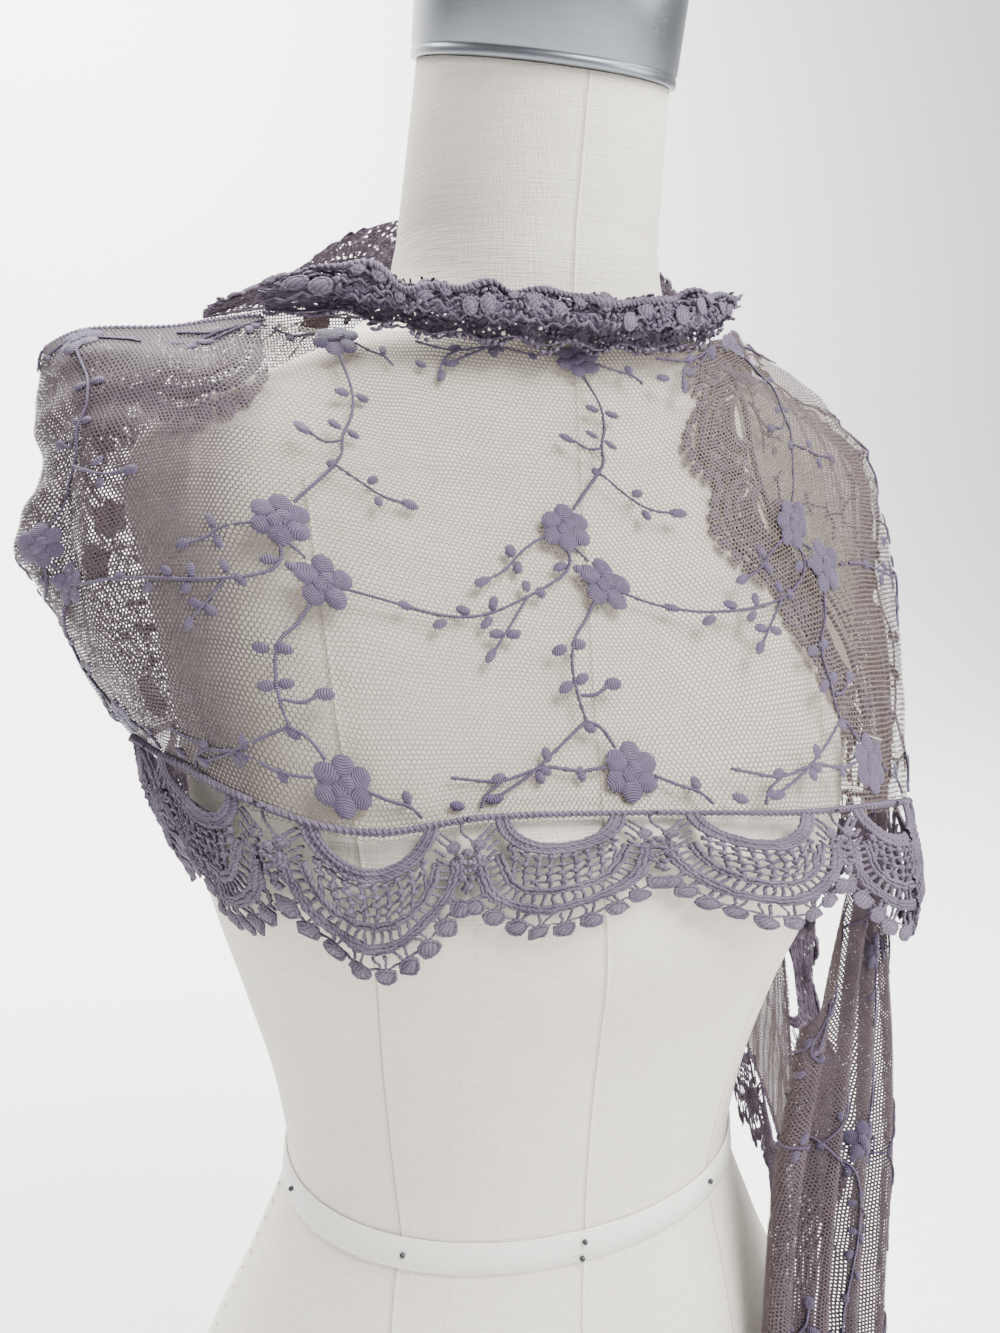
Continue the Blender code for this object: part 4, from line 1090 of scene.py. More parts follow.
def neck_rings(rows):
    """From the form's last section to the tilted top of the neck."""
    low = form_rows([FORM_SECTIONS[-1, 0]])[0]
    turn = np.linspace(0, 2 * np.pi, RING_POINTS, endpoint=False)
    top = np.stack(
        [
            NECK_RADIUS * np.cos(turn),
            NECK_RADIUS * np.sin(turn) * np.cos(NECK_TILT),
            NECK_RADIUS * np.sin(turn) * np.sin(NECK_TILT),
        ],
        axis=-1,
    ) + NECK_TOP
    share = np.linspace(0, 1, rows)[1:, None, None]
    return low * (1 - share) + top * share


def seam_distances(points):
    """Signed distances in mm from the middle, princess and side seams, for the cover's material."""
    x, y, z = points[..., 0], points[..., 1], points[..., 2]
    middle = np.interp(z, FRONT_SEAM[::-1, 0], FRONT_SEAM[::-1, 1])
    princess = np.interp(z, PRINCESS_SEAM[::-1, 0], PRINCESS_SEAM[::-1, 1])
    side = np.interp(z, SIDE_SEAM[::-1, 0], SIDE_SEAM[::-1, 1])
    above = z > PRINCESS_SEAM[0, 0]
    return np.stack([
        x - middle,
        np.where(above, 20.0, np.abs(x) - princess),
        np.where(above | (np.abs(x) < 60), 20.0, y - side),
    ], axis=-1)


def form_shell():
    """Cover of the form: its sections on a fine grid."""
    heights = np.linspace(FORM_SECTIONS[0, 0] + 1.5, FORM_SECTIONS[-1, 0], 110)
    rows = np.concatenate([form_rows(heights), neck_rings(24)])
    rim = np.array(rows[0])
    rim[:, 2] = FORM_SECTIONS[0, 0]
    under = rim - unit(rim * [1, 1, 0]) * 1.5
    centre = np.broadcast_to(under.mean(axis=0), under.shape) + (under - under.mean(axis=0)) * 0.01
    top = rows[-1].mean(axis=0) + (rows[-1] - rows[-1].mean(axis=0)) * 0.01
    return np.concatenate([centre[None], under[None], rows, top[None]])


def cap_shell():
    """Turned cap: radius and height along its profile, tilted with the neck."""
    profile = np.array([
        (0.3, CAP_HEIGHT - 0.4),
        (CAP_RADIUS - 9, CAP_HEIGHT - 0.3),
        (CAP_RADIUS - 5.0, CAP_HEIGHT - 0.2),
        (CAP_RADIUS - 2.6, CAP_HEIGHT - 0.8),
        (CAP_RADIUS - 1.0, CAP_HEIGHT - 2.0),
        (CAP_RADIUS - 0.2, CAP_HEIGHT - 4.0),
        (CAP_RADIUS, CAP_HEIGHT - 6.0),
        (CAP_RADIUS, 5.0),
        (CAP_RADIUS - 0.5, 4.4),
        (CAP_RADIUS - 0.5, 3.4),
        (CAP_RADIUS, 2.8),
        (CAP_RADIUS, 0.5),
        (CAP_RADIUS - 0.5, 0.0),
        (NECK_RADIUS - 2.0, 0.0),
    ])[::-1]
    turn = np.linspace(0, 2 * np.pi, 160, endpoint=False)
    local = np.stack(
        [
            profile[:, :1] * np.cos(turn),
            profile[:, :1] * np.sin(turn),
            np.broadcast_to(profile[:, 1:], (len(profile), 160)),
        ],
        axis=-1,
    )
    cos, sin = np.cos(NECK_TILT), np.sin(NECK_TILT)
    y = local[..., 1] * cos - local[..., 2] * sin
    z = local[..., 1] * sin + local[..., 2] * cos
    seat = np.array([0.0, -sin, cos]) * SEAM
    return np.stack([local[..., 0], y, z], axis=-1) + NECK_TOP + seat


def tape_shell():
    """Twill tape round the waist, its section a flat band with rounded edges."""
    low, high = -5.0, 10.0
    rows = [(low + 0.4, 0.35), (low, 0.8), (low + 0.3, 1.4), (2.5, 1.5), (high - 0.3, 1.4), (high, 0.8), (high - 0.4, 0.35)]
    return np.concatenate([form_rows([z], grow) for z, grow in rows])


def on_form(places, z, out=0.0):
    """Points on the form's front at x and height, moved this far out from it."""
    x = np.asarray(places, float)
    z = np.asarray(z, float)
    start = np.stack([x, np.full_like(x, -200.0), z], axis=-1)
    low, high = np.array(start), np.array(start)
    high[..., 1] = 0.0
    for _ in range(30):
        middle = (low + high) / 2
        outside = (form_field(middle) > 1)[..., None]
        low = np.where(outside, middle, low)
        high = np.where(outside, high, middle)
    return low + unit(low * [1, 1, 0]) * out


# Pins on the tape's front: x and height; and the hip's hand stitches.
PINS = ((-113, 3), (-73, 2), (2, 5), (1, -3), (74, 3))


def pins():
    """Small dark round pin heads."""
    places = np.array(PINS)
    centres = on_form(places[:, 0], places[:, 1], 1.9)
    return knobs(centres, (1.3, 1.3, 1.3), np.zeros(len(centres)), 7, 10)


def hip_stitches():
    """White thread dashes down the right side seam."""
    z = np.linspace(-14, -290, 30)
    level = np.interp(z, SIDE_SEAM[::-1, 0], SIDE_SEAM[::-1, 1]) + 3
    width = through(FORM_SECTIONS[:, 0], FORM_SECTIONS[:, 1:], z)
    shapes = []
    for k in range(len(z)):
        share = np.linspace(0, 1, 5)
        zz = z[k] - share * 5.0
        y = np.full(5, level[k])
        x = -width[k, 0] * np.maximum(1 - np.abs(y / width[k, 1]) ** width[k, 3], 0) ** (1 / width[k, 3])
        path = np.column_stack([x - 0.5, y, zz])
        shapes.append(tube(path, 0.6, 6))
    return joined(shapes)


# Materials.


def linear(code):
    """sRGB hex colour as linear red, green, blue and alpha."""
    values = np.array([int(code[k:k + 2], 16) for k in (1, 3, 5)]) / 255
    values = np.where(values <= 0.04045, values / 12.92, ((values + 0.055) / 1.055) ** 2.4)
    return (*values.tolist(), 1.0)


class Shader:
    """Nodes of one material, added one at a time with their settings and links."""

    def __init__(self, name):
        self.material = bpy.data.materials.new(name)
        self.material.use_nodes = True
        self.tree = self.material.node_tree
        self.surface = self.tree.nodes["Principled BSDF"]

    def add(self, kind, settings=None, **links):
        node = self.tree.nodes.new(kind)
        for key, value in (settings or {}).items():
            setattr(node, key, value)
        for key, value in links.items():
            self.feed(node.inputs[int(key[1:]) if key[1:].isdigit() else key.replace("_", " ")], value)
        return node

    def feed(self, socket, value):
        if hasattr(value, "is_output"):
            self.tree.links.new(value, socket)
        elif hasattr(value, "outputs"):
            self.tree.links.new(value.outputs[0], socket)
        else:
            socket.default_value = value

    def maths(self, operation, a, b=0.0, c=0.0):
        return self.add("ShaderNodeMath", {"operation": operation}, i0=a, i1=b, i2=c)

    def vector(self, operation, a, b=(0.0, 0.0, 0.0)):
        return self.add("ShaderNodeVectorMath", {"operation": operation}, i0=a, i1=b)

    def spread(self, value, low, high, new_low=0.0, new_high=1.0):
        return self.add("ShaderNodeMapRange", {"clamp": True}, i0=value, i1=low, i2=high, i3=new_low, i4=new_high)

    def blend(self, share, first, second):
        node = self.tree.nodes.new("ShaderNodeMix")
        node.data_type = "RGBA"
        for k, value in ((0, share), (6, first), (7, second)):
            self.feed(node.inputs[k], value)
        return node.outputs[2]

    def noise(self, place, scale, detail=2.0, roughness=0.5):
        return self.add("ShaderNodeTexNoise", None, Vector=place, Scale=scale, Detail=detail, Roughness=roughness)

    def attribute(self, name):
        return self.add("ShaderNodeAttribute", {"attribute_name": name}).outputs["Vector"]

    def objects(self):
        return self.add("ShaderNodeTexCoord").outputs["Object"]

    def bump(self, height, distance, strength=1.0):
        node = self.add("ShaderNodeBump", None, Height=height, Distance=distance, Strength=strength)
        self.feed(self.surface.inputs["Normal"], node)

    def set(self, **values):
        for key, value in values.items():
            self.feed(self.surface.inputs[key.replace("_", " ")], value)


MESH_SIZE = 1.8
# How thick the net's threads look beside its holes: u, share. The strip is drawn
# closer together at the shoulders and in the tail. Over 0.12 a share also turns
# the threads' colour darker, as painted shade.
THREAD_SHARES = np.array([
    (-1400, 0.24),
    (-935, 0.22),
    (-600, 0.16),
    (-318, 0.22),
    (-230, 0.27),
    (-150, 0.24),
    (-118, 0.115),
    (85, 0.115),
    (125, 0.15),
    (300, 0.17),
    (400, 0.30),
    (560, 0.34),
])
# Shares of the threads' backs; as in front, over 0.12 they take the darker painted shade colour.
BACK_SHARES = np.array([
    (-1400, 0.62),
    (-945, 0.55),
    (-925, 0.18),
    (-600, 0.16),
    (-318, 0.40),
    (-150, 0.40),
    (-118, 0.115),
    (85, 0.115),
    (125, 0.15),
    (300, 0.20),
    (400, 0.55),
    (560, 0.62),
])


def net_material():
    """Knitted tulle: hexagonal holes between fine threads, seen as a grey-mauve veil with open cells; where the strip
    is gathered the threads take a darker colour, painted shade.

    q = place / (size, size sqrt 3); two offset lattices give the nearest cell's
    middle, and the hexagonal distance from it is over 0.5 - w / 2 on a thread.
    """
    shader = Shader("mauve_nylon_tulle_open_hexagons")
    place = shader.vector("MULTIPLY", shader.attribute("cloth"), (1.0, 1.0, 0.0))
    wobble = shader.noise(place, 0.05, 1.0)
    shift = shader.vector("MULTIPLY", shader.vector("SUBTRACT", wobble.outputs["Color"], (0.5, 0.5, 0.5)), (3.0, 3.0, 0.0))
    place = shader.vector("ADD", place, shift)
    scaled = shader.vector("MULTIPLY", place, (1 / MESH_SIZE, 1 / (MESH_SIZE * 3**0.5), 0.0))
    cells = []
    for offset in (0.0, 0.5):
        moved = shader.vector("ADD", scaled, (offset, offset, 0.0))
        part = shader.vector("SUBTRACT", shader.vector("FRACTION", moved), (0.5, 0.5, 0.0))
        part = shader.vector("ABSOLUTE", shader.vector("MULTIPLY", part, (1.0, 3**0.5, 0.0)))
        split = shader.add("ShaderNodeSeparateXYZ", None, i0=part)
        slant = shader.maths("MULTIPLY_ADD", split.outputs[1], 3**0.5 / 2, shader.maths("MULTIPLY", split.outputs[0], 0.5))
        cells.append(shader.maths("MAXIMUM", split.outputs[0], slant))
    nearest = shader.maths("MINIMUM", *cells)
    share = shader.add("ShaderNodeSeparateXYZ", None, i0=shader.attribute("cloth"))
    edge = shader.maths("MULTIPLY_ADD", share.outputs[2], -0.5, 0.5)
    past = shader.maths("SUBTRACT", nearest, edge)
    thread = shader.spread(past, -0.02, 0.02)
    tone = shader.noise(place, 0.03, 3.0)
    # Painted shade: threads with a share over 0.12 (shoulders, tail, gathered backs) blend to a darker copy of the
    # thread colour that stands for the shade there.
    gathered = shader.spread(share.outputs[2], 0.12, 0.20)
    lit_single_colour = shader.blend(tone.outputs["Fac"], linear("#63574f"), linear("#7d6f66"))
    shaded_double_colour = shader.blend(tone.outputs["Fac"], linear("#463c42"), linear("#685b5f"))
    colour = shader.blend(gathered, lit_single_colour, shaded_double_colour)
    shader.set(Base_Color=colour, Roughness=0.6, Alpha=thread)
    shader.set(Specular_IOR_Level=0.2)
    return shader.material


def ground_material():
    """Layers of crochet behind the front one: a close dark mesh with uneven small holes."""
    shader = Shader("lavender_crochet_deeper_layers")
    cloth = shader.attribute("cloth")
    openness = shader.add("ShaderNodeSeparateXYZ", None, i0=cloth).outputs[2]
    place = shader.vector("MULTIPLY", cloth, (1.0, 1.0, 0.0))
    holes = shader.add("ShaderNodeTexVoronoi", None, Vector=place, Scale=0.42)
    patch = shader.noise(place, 0.11, 2.0)
    limit = shader.maths("MULTIPLY", shader.spread(patch.outputs["Fac"], 0.35, 0.65, 0.16, 0.42), openness)
    solid = shader.spread(shader.maths("SUBTRACT", holes.outputs["Distance"], limit), -0.02, 0.04)
    height = shader.spread(holes.outputs["Distance"], 0.1, 0.8)
    colour = shader.blend(height, linear("#887d8c"), linear("#4f4657"))
    shader.set(Base_Color=colour, Roughness=0.85, Alpha=solid, Specular_IOR_Level=0.1)
    shader.bump(height, 0.0006, 0.8)
    return shader.material


def yarn_material(name, dark, light, ply, rough):
    """Cotton yarn: fine diagonal plies along each thread, matt, with painted shade darkening the hollows between the
    plies.
    """
    shader = Shader(name)
    stitch = shader.attribute("stitch")
    split = shader.add("ShaderNodeSeparateXYZ", None, i0=stitch)
    slant = shader.maths("MULTIPLY_ADD", split.outputs[1], 0.8, split.outputs[0])
    wave = shader.maths("SINE", shader.maths("MULTIPLY", slant, 2 * np.pi / ply))
    height = shader.spread(wave, -1.0, 1.0)
    tone = shader.noise(shader.attribute("cloth"), 0.09, 3.0)
    # Painted shade: the ply height that drives the bump also darkens the colour in the hollows; the noise is the yarn's
    # own uneven tone.
    tone_and_painted_shade = shader.maths("ADD", shader.maths("MULTIPLY", height, 0.35), shader.maths("MULTIPLY", tone.outputs["Fac"], 0.65))
    colour = shader.blend(tone_and_painted_shade, linear(dark), linear(light))
    shader.set(Base_Color=colour, Roughness=rough, Specular_IOR_Level=0.15)
    shader.bump(height, 0.00016, 0.6)
    return shader.material


def satin_material():
    """Satin-stitch floss: close parallel threads 0.85 mm apart, painted darker between the threads as painted shade,
    with a soft shine along each petal.
    """
    shader = Shader("lavender_satin_stitch_floss")
    stitch = shader.attribute("stitch")
    split = shader.add("ShaderNodeSeparateXYZ", None, i0=stitch)
    wave = shader.maths("SINE", shader.maths("MULTIPLY", split.outputs[0], 2 * np.pi / 0.85))
    height = shader.spread(wave, -1.0, 1.0)
    tone = shader.noise(stitch, 0.5, 2.0)
    # Painted shade: the stitch wave that drives the bump also darkens the colour between the threads; the noise is the
    # floss's own uneven tone.
    tone_and_painted_shade = shader.maths("ADD", shader.maths("MULTIPLY", height, 0.25), shader.maths("MULTIPLY", tone.outputs["Fac"], 0.75))
    colour = shader.blend(tone_and_painted_shade, linear("#3a3142"), linear("#685d76"))
    shader.set(Base_Color=colour, Roughness=0.6, Specular_IOR_Level=0.3)
    shader.bump(height, 0.00030, 1.0)
    return shader.material


def linen_material():
    """Ivory linen cover: plain weave 0.7 mm apart with slubs, the weave's low places painted darker as painted shade,
    matt, with fine sunk seam lines.
    """
    shader = Shader("ivory_linen_plain_weave")
    place = shader.objects()
    warp = shader.noise(shader.vector("MULTIPLY", place, (1.0, 1.0, 0.06)), 1500.0, 1.0)
    weft = shader.noise(shader.vector("MULTIPLY", place, (0.05, 0.05, 1.0)), 1500.0, 1.0)
    weave = shader.maths("ADD", warp.outputs["Fac"], weft.outputs["Fac"])
    weave = shader.spread(weave, 0.7, 1.3)
    slub = shader.noise(shader.vector("MULTIPLY", place, (0.08, 0.08, 1.0)), 420.0, 2.0)
    tone = shader.noise(place, 9.0, 3.0)
    # Painted shade: the weave, also the bump's height, darkens the colour where it is low; the slubs and the broad tone
    # are the linen's own.
    tone_and_painted_shade = shader.maths("ADD", shader.maths("MULTIPLY", weave, 0.35), shader.maths("MULTIPLY", slub.outputs["Fac"], 0.3))
    tone_and_painted_shade = shader.maths("ADD", tone_and_painted_shade, shader.maths("MULTIPLY", tone.outputs["Fac"], 0.35))
    colour = shader.blend(tone_and_painted_shade, linear("#cdc5b6"), linear("#ebe5d8"))
    seams = shader.add("ShaderNodeSeparateXYZ", None, i0=shader.vector("ABSOLUTE", shader.attribute("seams")))
    nearest = shader.maths("MINIMUM", seams.outputs[0], seams.outputs[1])
    nearest = shader.maths("MINIMUM", nearest, seams.outputs[2])
    line = shader.spread(nearest, 0.15, 0.55, 1.0, 0.0)
    colour = shader.blend(shader.maths("MULTIPLY", line, 0.6), colour, linear("#8d8070"))
    shader.set(Base_Color=colour, Roughness=0.85, Specular_IOR_Level=0.2)
    puckered = shader.maths("MULTIPLY_ADD", shader.spread(nearest, 0.0, 1.6), 3.0, weave)
    shader.bump(puckered, 0.0003, 0.6)
    return shader.material


def steel_material():
    """Brushed steel cap: fine lines round its side, soft broad highlights."""
    shader = Shader("brushed_steel_round_lines")
    place = shader.objects()
    lines = shader.noise(shader.vector("MULTIPLY", place, (0.02, 0.3, 1.0)), 2600.0, 2.0)
    stain = shader.noise(place, 30.0, 2.0)
    rough = shader.spread(lines.outputs["Fac"], 0.3, 0.7, 0.30, 0.44)
    colour = shader.blend(stain.outputs["Fac"], linear("#74787e"), linear("#8f9399"))
    shader.set(Base_Color=colour, Metallic=1.0, Roughness=rough)
    shader.bump(lines.outputs["Fac"], 0.00005, 0.5)
    return shader.material


def twill_material():
    """White cotton twill tape: diagonal ribs about 1 mm apart, painted darker between the ribs as painted shade."""
    shader = Shader("white_cotton_twill_ribs")
    place = shader.add("ShaderNodeSeparateXYZ", None, i0=shader.objects())
    slant = shader.maths("ADD", place.outputs[0], place.outputs[2])
    slant = shader.maths("ADD", slant, shader.maths("MULTIPLY", place.outputs[1], 0.6))
    wave = shader.spread(shader.maths("SINE", shader.maths("MULTIPLY", slant, 2 * np.pi / 0.0012)), -1.0, 1.0)
    # Painted shade: the rib wave that drives the bump also darkens the colour in the grooves between the ribs.
    colour = shader.blend(wave, linear("#d5d2c8"), linear("#efede6"))
    shader.set(Base_Color=colour, Roughness=0.8)
    shader.bump(wave, 0.0002, 0.7)
    return shader.material


def plain_material(name, code, rough, metallic=0.0):
    """One even colour and roughness."""
    shader = Shader(name)
    shader.set(Base_Color=linear(code), Roughness=rough, Metallic=metallic)
    return shader.material


# Objects.


def to_world(points):
    return (points + [0, 0, WAIST_Z]) * MM


def make_object(name, points, quads, material, fields=(), smooth_faces=True):
    """A mesh from millimetre points and quads, with named vector fields on its points."""
    mesh = bpy.data.meshes.new(name)
    mesh.vertices.add(len(points))
    mesh.vertices.foreach_set("co", to_world(points).astype(np.float32).ravel())
    mesh.loops.add(quads.size)
    mesh.loops.foreach_set("vertex_index", quads.astype(np.int32).ravel())
    mesh.polygons.add(len(quads))
    mesh.polygons.foreach_set("loop_start", np.arange(0, quads.size, 4, dtype=np.int32))
    for label, values in fields:
        field = mesh.attributes.new(label, "FLOAT_VECTOR", "POINT")
        values = np.column_stack([values, np.zeros((len(values), 3 - values.shape[1]))])
        field.data.foreach_set("vector", values.astype(np.float32).ravel())
    mesh.update(calc_edges=True)
    mesh.validate()
    if smooth_faces:
        mesh.shade_smooth()
    mesh.materials.append(material)
    obj = bpy.data.objects.new(name, mesh)
    bpy.context.scene.collection.objects.link(obj)
    return obj


def on_cloth(name, shapes, surface, material, lift=0.0):
    """Flat shapes laid on a cloth surface."""
    points, quads, stitch = shapes
    cloth = points[:, :2]
    obj = make_object(name, surface.at(points + [0, 0, lift]), quads, material, (("stitch", stitch), ("cloth", cloth)))
    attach(obj, "root")
    return obj


THREAD_DEPTH = 0.45


def thread_backs(name, surface, material):
    """Back of the net's round threads, a thread's depth behind; where the net is gathered, its deeper layers too."""
    rows = np.unique(np.append(np.arange(0, len(surface.first), 2), len(surface.first) - 1))
    points = (surface.points - surface.normal * THREAD_DEPTH)[rows]
    behind = Surface(points, surface.first[rows], surface.second)
    return net_sheet(name, behind, material, BACK_SHARES)


def net_sheet(name, surface, material, shares=THREAD_SHARES):
    """The net itself: one layer on the surface's own grid."""
    rows, columns = surface.points.shape[:2]
    u, v = np.meshgrid(surface.first, surface.second, indexing="ij")
    share = np.interp(u.ravel(), shares[:, 0], shares[:, 1])
    cloth = np.stack([u.ravel(), v.ravel(), share], axis=-1)
    obj = make_object(name, surface.points.reshape(-1, 3), grid_quads(rows, columns), material, (("cloth", cloth),))
    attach(obj, "root")
    return obj


def lace_ground(name, surface, low, high, first_depth, last_depth, height=-0.7, openness=1.0):
    """Deeper layers of bunched crochet, a sheet just behind the front one; openness 0 has no holes."""
    a = axis(low, high, 2.5)
    b = axis(first_depth, last_depth, 2.0)
    grid_a, grid_b = np.meshgrid(a, b, indexing="ij")
    points = surface.at(np.stack([grid_a, grid_b, np.full_like(grid_a, height)], axis=-1))
    return net_sheet(name, Surface(points, a, b), GROUND, np.array([(0.0, openness), (1.0, openness)]))


def raw_edge(hem):
    """The net's cut edge: it hangs 3 to 4 mm past the hem header, behind the lace, unevenly cut."""
    down = np.array([-0.5, 2.2, 4.8])
    u, d = np.meshgrid(hem.first, down, indexing="ij")
    d = d * (1 + 0.14 * np.sin(0.9 * u) + 0.1 * np.sin(2.3 * u))
    points = hem.at(np.stack([u, d, np.full_like(u, -1.1)], axis=-1))
    return Surface(points, hem.first, NET_WIDTH + down)


def part_of(surface, low, high):
    """The stretch of a surface between two places of its first coordinate."""
    first = np.unique(np.concatenate([[low], surface.first[(surface.first > low) & (surface.first < high)], [high]]))
    grid_a, grid_b = np.meshgrid(first, surface.second, indexing="ij")
    return Surface(surface.read(surface.points, grid_a, grid_b), first, surface.second)


TULLE = net_material()
FLOSS = satin_material()
GROUND = ground_material()
YARN = yarn_material("lavender_cotton_crochet_yarn", "#2c2433", "#7d7282", 1.7, 0.8)
LINEN = linen_material()
STEEL = steel_material()
TWILL = twill_material()
PIN = plain_material("dark_enamel_pin_heads", "#2b2a2e", 0.3)
THREAD = plain_material("white_cotton_basting_thread", "#f2f0ea", 0.7)


# Net stretches: node, first and last u, flat length in metres, how it is held, what carries it.
NETS = (
    ("front_net", -128, 112, 0.240, "draped", ("dress_form_body",)),
    ("right_shoulder_net", -318, -128, 0.190, "draped", ("dress_form_body",)),
    ("back_net", -590, -318, 0.272, "draped", ("dress_form_body",)),
    ("left_shoulder_net", 112, 560, 0.448, "draped", ("dress_form_body", "left_under_net")),
    ("left_under_net", -935, -591, 0.344, "draped", ("dress_form_body",)),
)
# Lace stretches: node, surface, first and last u.
LACES = (
    ("hem_lace_front", hem_surface(-128, 112), -128, 112),
    ("hem_lace_right", hem_surface(-318, -128), -318, -128),
    ("hem_lace_back", hem_surface(-640, -318), -640, -318),
    ("hem_lace_left", hem_surface(112, 560), 112, 560),
    ("neck_lace_back", collar_surface(), -655, -338),
    ("right_turned_lace", turned_surface(), -305, -130),
    ("left_under_lace", picot_surface(), -935, -668),
    ("neck_lace_left", shoulder_lace_surface(), 112, 560),
)


# Laces behind the neck, the shoulder or the form, drawn in coarser steps.
FAR_LACES = ("hem_lace_back", "hem_lace_left", "neck_lace_back", "neck_lace_left")


def dress_cloth():
    """Net, embroidery and crochet edging of every stretch."""
    whole = net_surface()
    pieces = {}
    for node, first, last, *_ in NETS:
        surface = part_of(whole, first, last)
        sheet = net_sheet(node + "_tulle", surface, TULLE)
        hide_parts(node)
        flowers = on_cloth(node + "_embroidery", embroidery(first, last), whole, FLOSS, 0.2)
        pieces[node] = (sheet, flowers, thread_backs(node + "_thread_backs", surface, TULLE))
    tail = tail_net_surface()
    sheet = net_sheet("tail_net_tulle", tail, TULLE)
    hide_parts("tail_net")
    flowers = on_cloth("tail_net_embroidery", embroidery(tail.first[0] + 1, tail.first[-1]), tail, FLOSS, 0.2)
    pieces["tail_net"] = (sheet, flowers, thread_backs("tail_net_thread_backs", tail, TULLE))
    laces = {}
    for node, first, last in (("front_net", -128, 112), ("right_shoulder_net", -318, -128), ("left_shoulder_net", 112, 560)):
        strip = raw_edge(hem_surface(first, last))
        pieces[node] += (net_sheet(node + "_raw_edge", strip, TULLE),)
    for node, surface, first, last in LACES:
        repeat = FAR_REPEAT if node in FAR_LACES else REPEAT
        lace = on_cloth(node + "_crochet", edging(first, last, repeat=repeat), surface, YARN)
        laces[node] = lace
        if node in ("neck_lace_back", "neck_lace_left"):
            lace_ground(node + "_deeper_layers", surface, first, last, 1.0, 64.0)
        if node == "hem_lace_left":
            lace_ground(node + "_deeper_layers", surface, 330, last, 12.0, 58.0, openness=0.5)
    lace_ground("hem_lace_right_deeper_layers", hem_surface(-318, -146), -318, -146, 14.0, 44.0)
    tail_lace = tail_lace_surface()
    lace_ground("tail_lace_deeper_layers", tail_lace, tail_lace.first[0] + 1, tail_lace.first[-1], -3.0, 64.0, openness=0.35)
    laces["tail_lace"] = on_cloth("tail_lace_crochet", edging(tail_lace.first[0] + 1, tail_lace.first[-1], repeat=FAR_REPEAT), tail_lace, YARN)
    laces["tail_end_lace"] = on_cloth("tail_end_lace_crochet", edging(0, NET_WIDTH, SCALLOP / 2, FAR_REPEAT), tail_end_surface(), YARN)
    laces["end_lace"] = on_cloth("end_lace_crochet", edging(0, NET_WIDTH, 19.0, FAR_REPEAT), end_surface(), YARN)
    roll = roll_surface()
    lace_ground("neck_lace_front_deeper_layers", roll, -122, 98, 0.0, roll.second[-1] - 6, -0.5)
    laces["neck_lace_front"] = on_cloth("neck_lace_front_crochet", bunched_edging(-122, 98, roll.second[-1]), roll, YARN)
    for node, lace in laces.items():
        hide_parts(node)
    return pieces, laces


def dress_form():
    """Linen cover, cap, tape, pins and hand stitches."""
    shell = form_shell()
    body = make_object("dress_form_cover", shell.reshape(-1, 3), grid_quads(len(shell), RING_POINTS, True), LINEN,
                       (("seams", seam_distances(shell).reshape(-1, 3)),))
    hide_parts("dress_form_body")
    cap = cap_shell()
    top = make_object("neck_cap_turned", cap.reshape(-1, 3), grid_quads(len(cap), 160, True), STEEL)
    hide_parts("neck_cap")
    band = tape_shell()
    tape = make_object("waist_tape_twill", band.reshape(-1, 3), grid_quads(len(band), RING_POINTS, True), TWILL)
    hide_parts("waist_tape")
    heads = make_object("tape_pins", *pins()[:2], PIN)
    dashes = make_object("hip_basting_stitches", *hip_stitches()[:2], THREAD)
    for obj in (body, top, tape, heads, dashes):
        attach(obj, "root")


# Camera, as far from the form and as high as in the photograph.
CAMERA_PLACE = (-0.157, -0.453, 0.627)
CAMERA_TURN = 0.333
CAMERA_PITCH = 0.174
CAMERA_ROLL = 0.016
CAMERA_FOCAL = 1015 / 1333 * 36
CAMERA_SHIFT = -18.1 / 1333


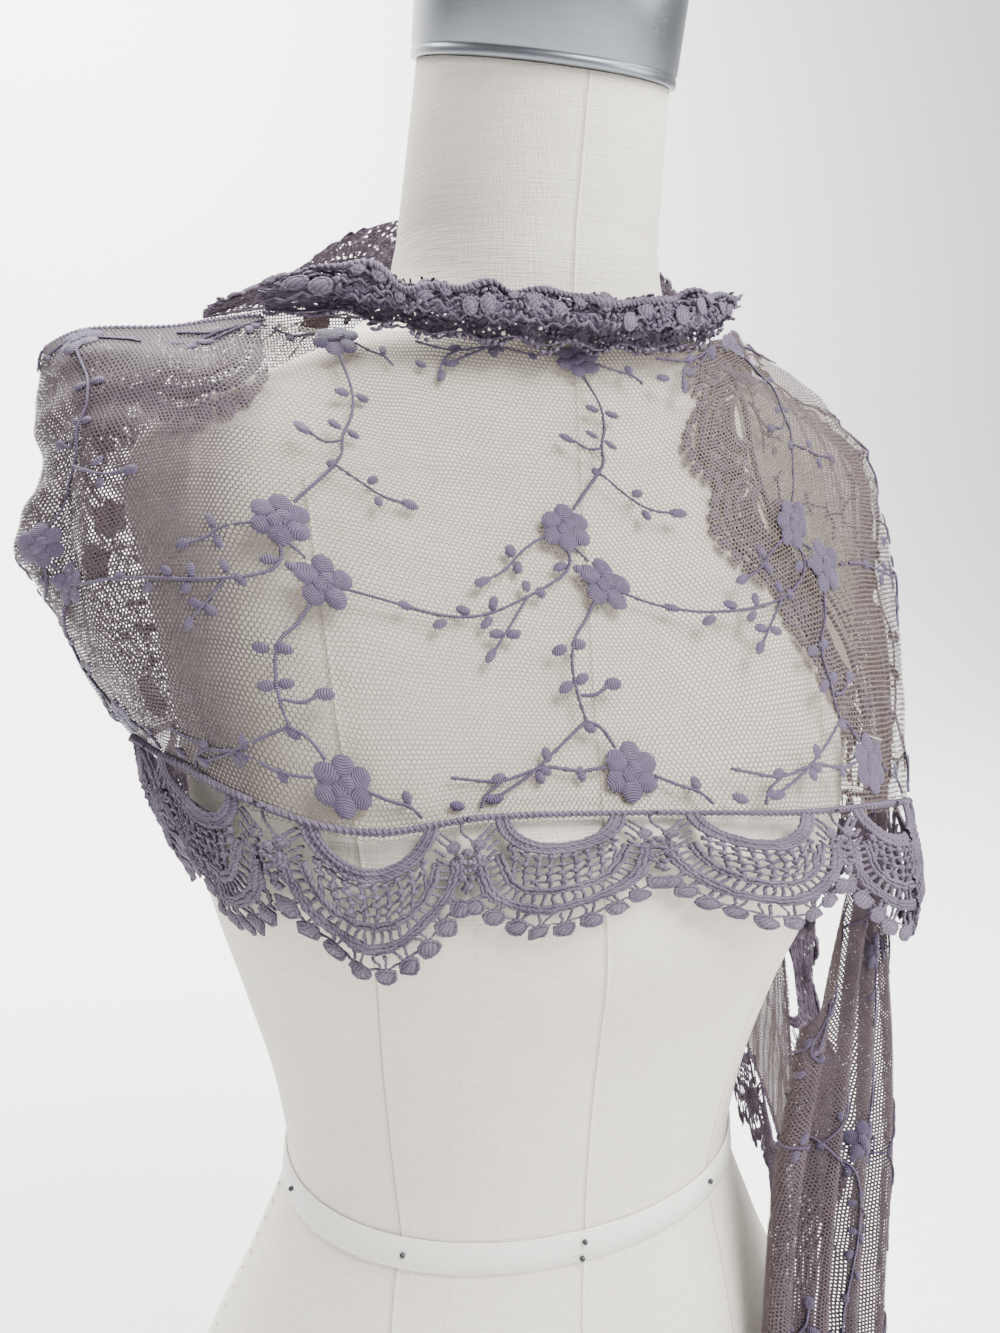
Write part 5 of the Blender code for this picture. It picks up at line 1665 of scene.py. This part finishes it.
def add_camera():
    sin_turn, cos_turn = np.sin(CAMERA_TURN), np.cos(CAMERA_TURN)
    forward = np.array([sin_turn * np.cos(CAMERA_PITCH), cos_turn * np.cos(CAMERA_PITCH), -np.sin(CAMERA_PITCH)])
    right = np.array([cos_turn, -sin_turn, 0.0])
    up = np.cross(right, forward)
    cos_roll, sin_roll = np.cos(CAMERA_ROLL), np.sin(CAMERA_ROLL)
    right, up = right * cos_roll + up * sin_roll, up * cos_roll - right * sin_roll
    place = np.eye(4)
    place[:3, :3] = np.column_stack([right, up, -forward])
    place[:3, 3] = CAMERA_PLACE
    data = bpy.data.cameras.new("camera")
    data.sensor_width = 36.0
    data.lens = CAMERA_FOCAL
    data.shift_x = CAMERA_SHIFT
    data.clip_start = 0.01
    data.dof.use_dof = False
    camera = bpy.data.objects.new("camera", data)
    camera.matrix_world = Matrix(place.tolist())
    bpy.context.scene.collection.objects.link(camera)
    bpy.context.scene.camera = camera


def add_studio():
    """Pale floor that curves up into a backdrop, a large soft light above and two softer ones."""
    run = np.concatenate([np.linspace(-5, 1.6, 12), 1.6 + 1.2 * np.sin(np.linspace(0.1, 1.5, 12)), np.full(6, 2.8)])
    rise = np.concatenate([np.zeros(12), 1.2 - 1.2 * np.cos(np.linspace(0.1, 1.5, 12)), np.linspace(1.3, 7.0, 6)])
    across = np.linspace(-9, 9, 3)
    points = np.stack(np.broadcast_arrays(across[None], run[:, None], rise[:, None]), axis=-1)
    points = points / MM - [0, 0, WAIST_Z]
    paper = plain_material("pale_grey_backdrop_paper", "#f1f0ef", 0.9)
    floor = make_object("pale_floor", points.reshape(-1, 3), grid_quads(len(run), 3), paper)
    for name, place, size, power, target in (
        ("soft_box_above", (0.7, -1.3, 2.3), 1.1, 150.0, (0, 0, 0.5)),
        ("soft_box_right", (1.7, -1.0, 1.1), 1.0, 30.0, (0, 0, 0.5)),
        ("soft_box_back", (-0.6, 1.0, 2.4), 1.8, 300.0, (0, 2.4, 0.6)),
    ):
        data = bpy.data.lights.new(name, "AREA")
        data.size = size
        data.energy = power
        light = bpy.data.objects.new(name, data)
        toward = Matrix.Identity(3)
        back = unit(np.array(place) - target)
        side = unit(np.cross([0, 0, 1.0], back))
        toward = Matrix(np.column_stack([side, np.cross(back, side), back]).tolist()).to_4x4()
        toward.translation = place
        light.matrix_world = toward
        bpy.context.scene.collection.objects.link(light)
    world = bpy.data.worlds.new("soft_room")
    world.use_nodes = True
    world.node_tree.nodes["Background"].inputs["Color"].default_value = linear("#eef0f4")
    world.node_tree.nodes["Background"].inputs["Strength"].default_value = 0.50
    bpy.context.scene.world = world


add_camera()
add_studio()
dress_form()
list(dress_cloth())
bpy.context.scene.cycles.transparent_max_bounces = 32
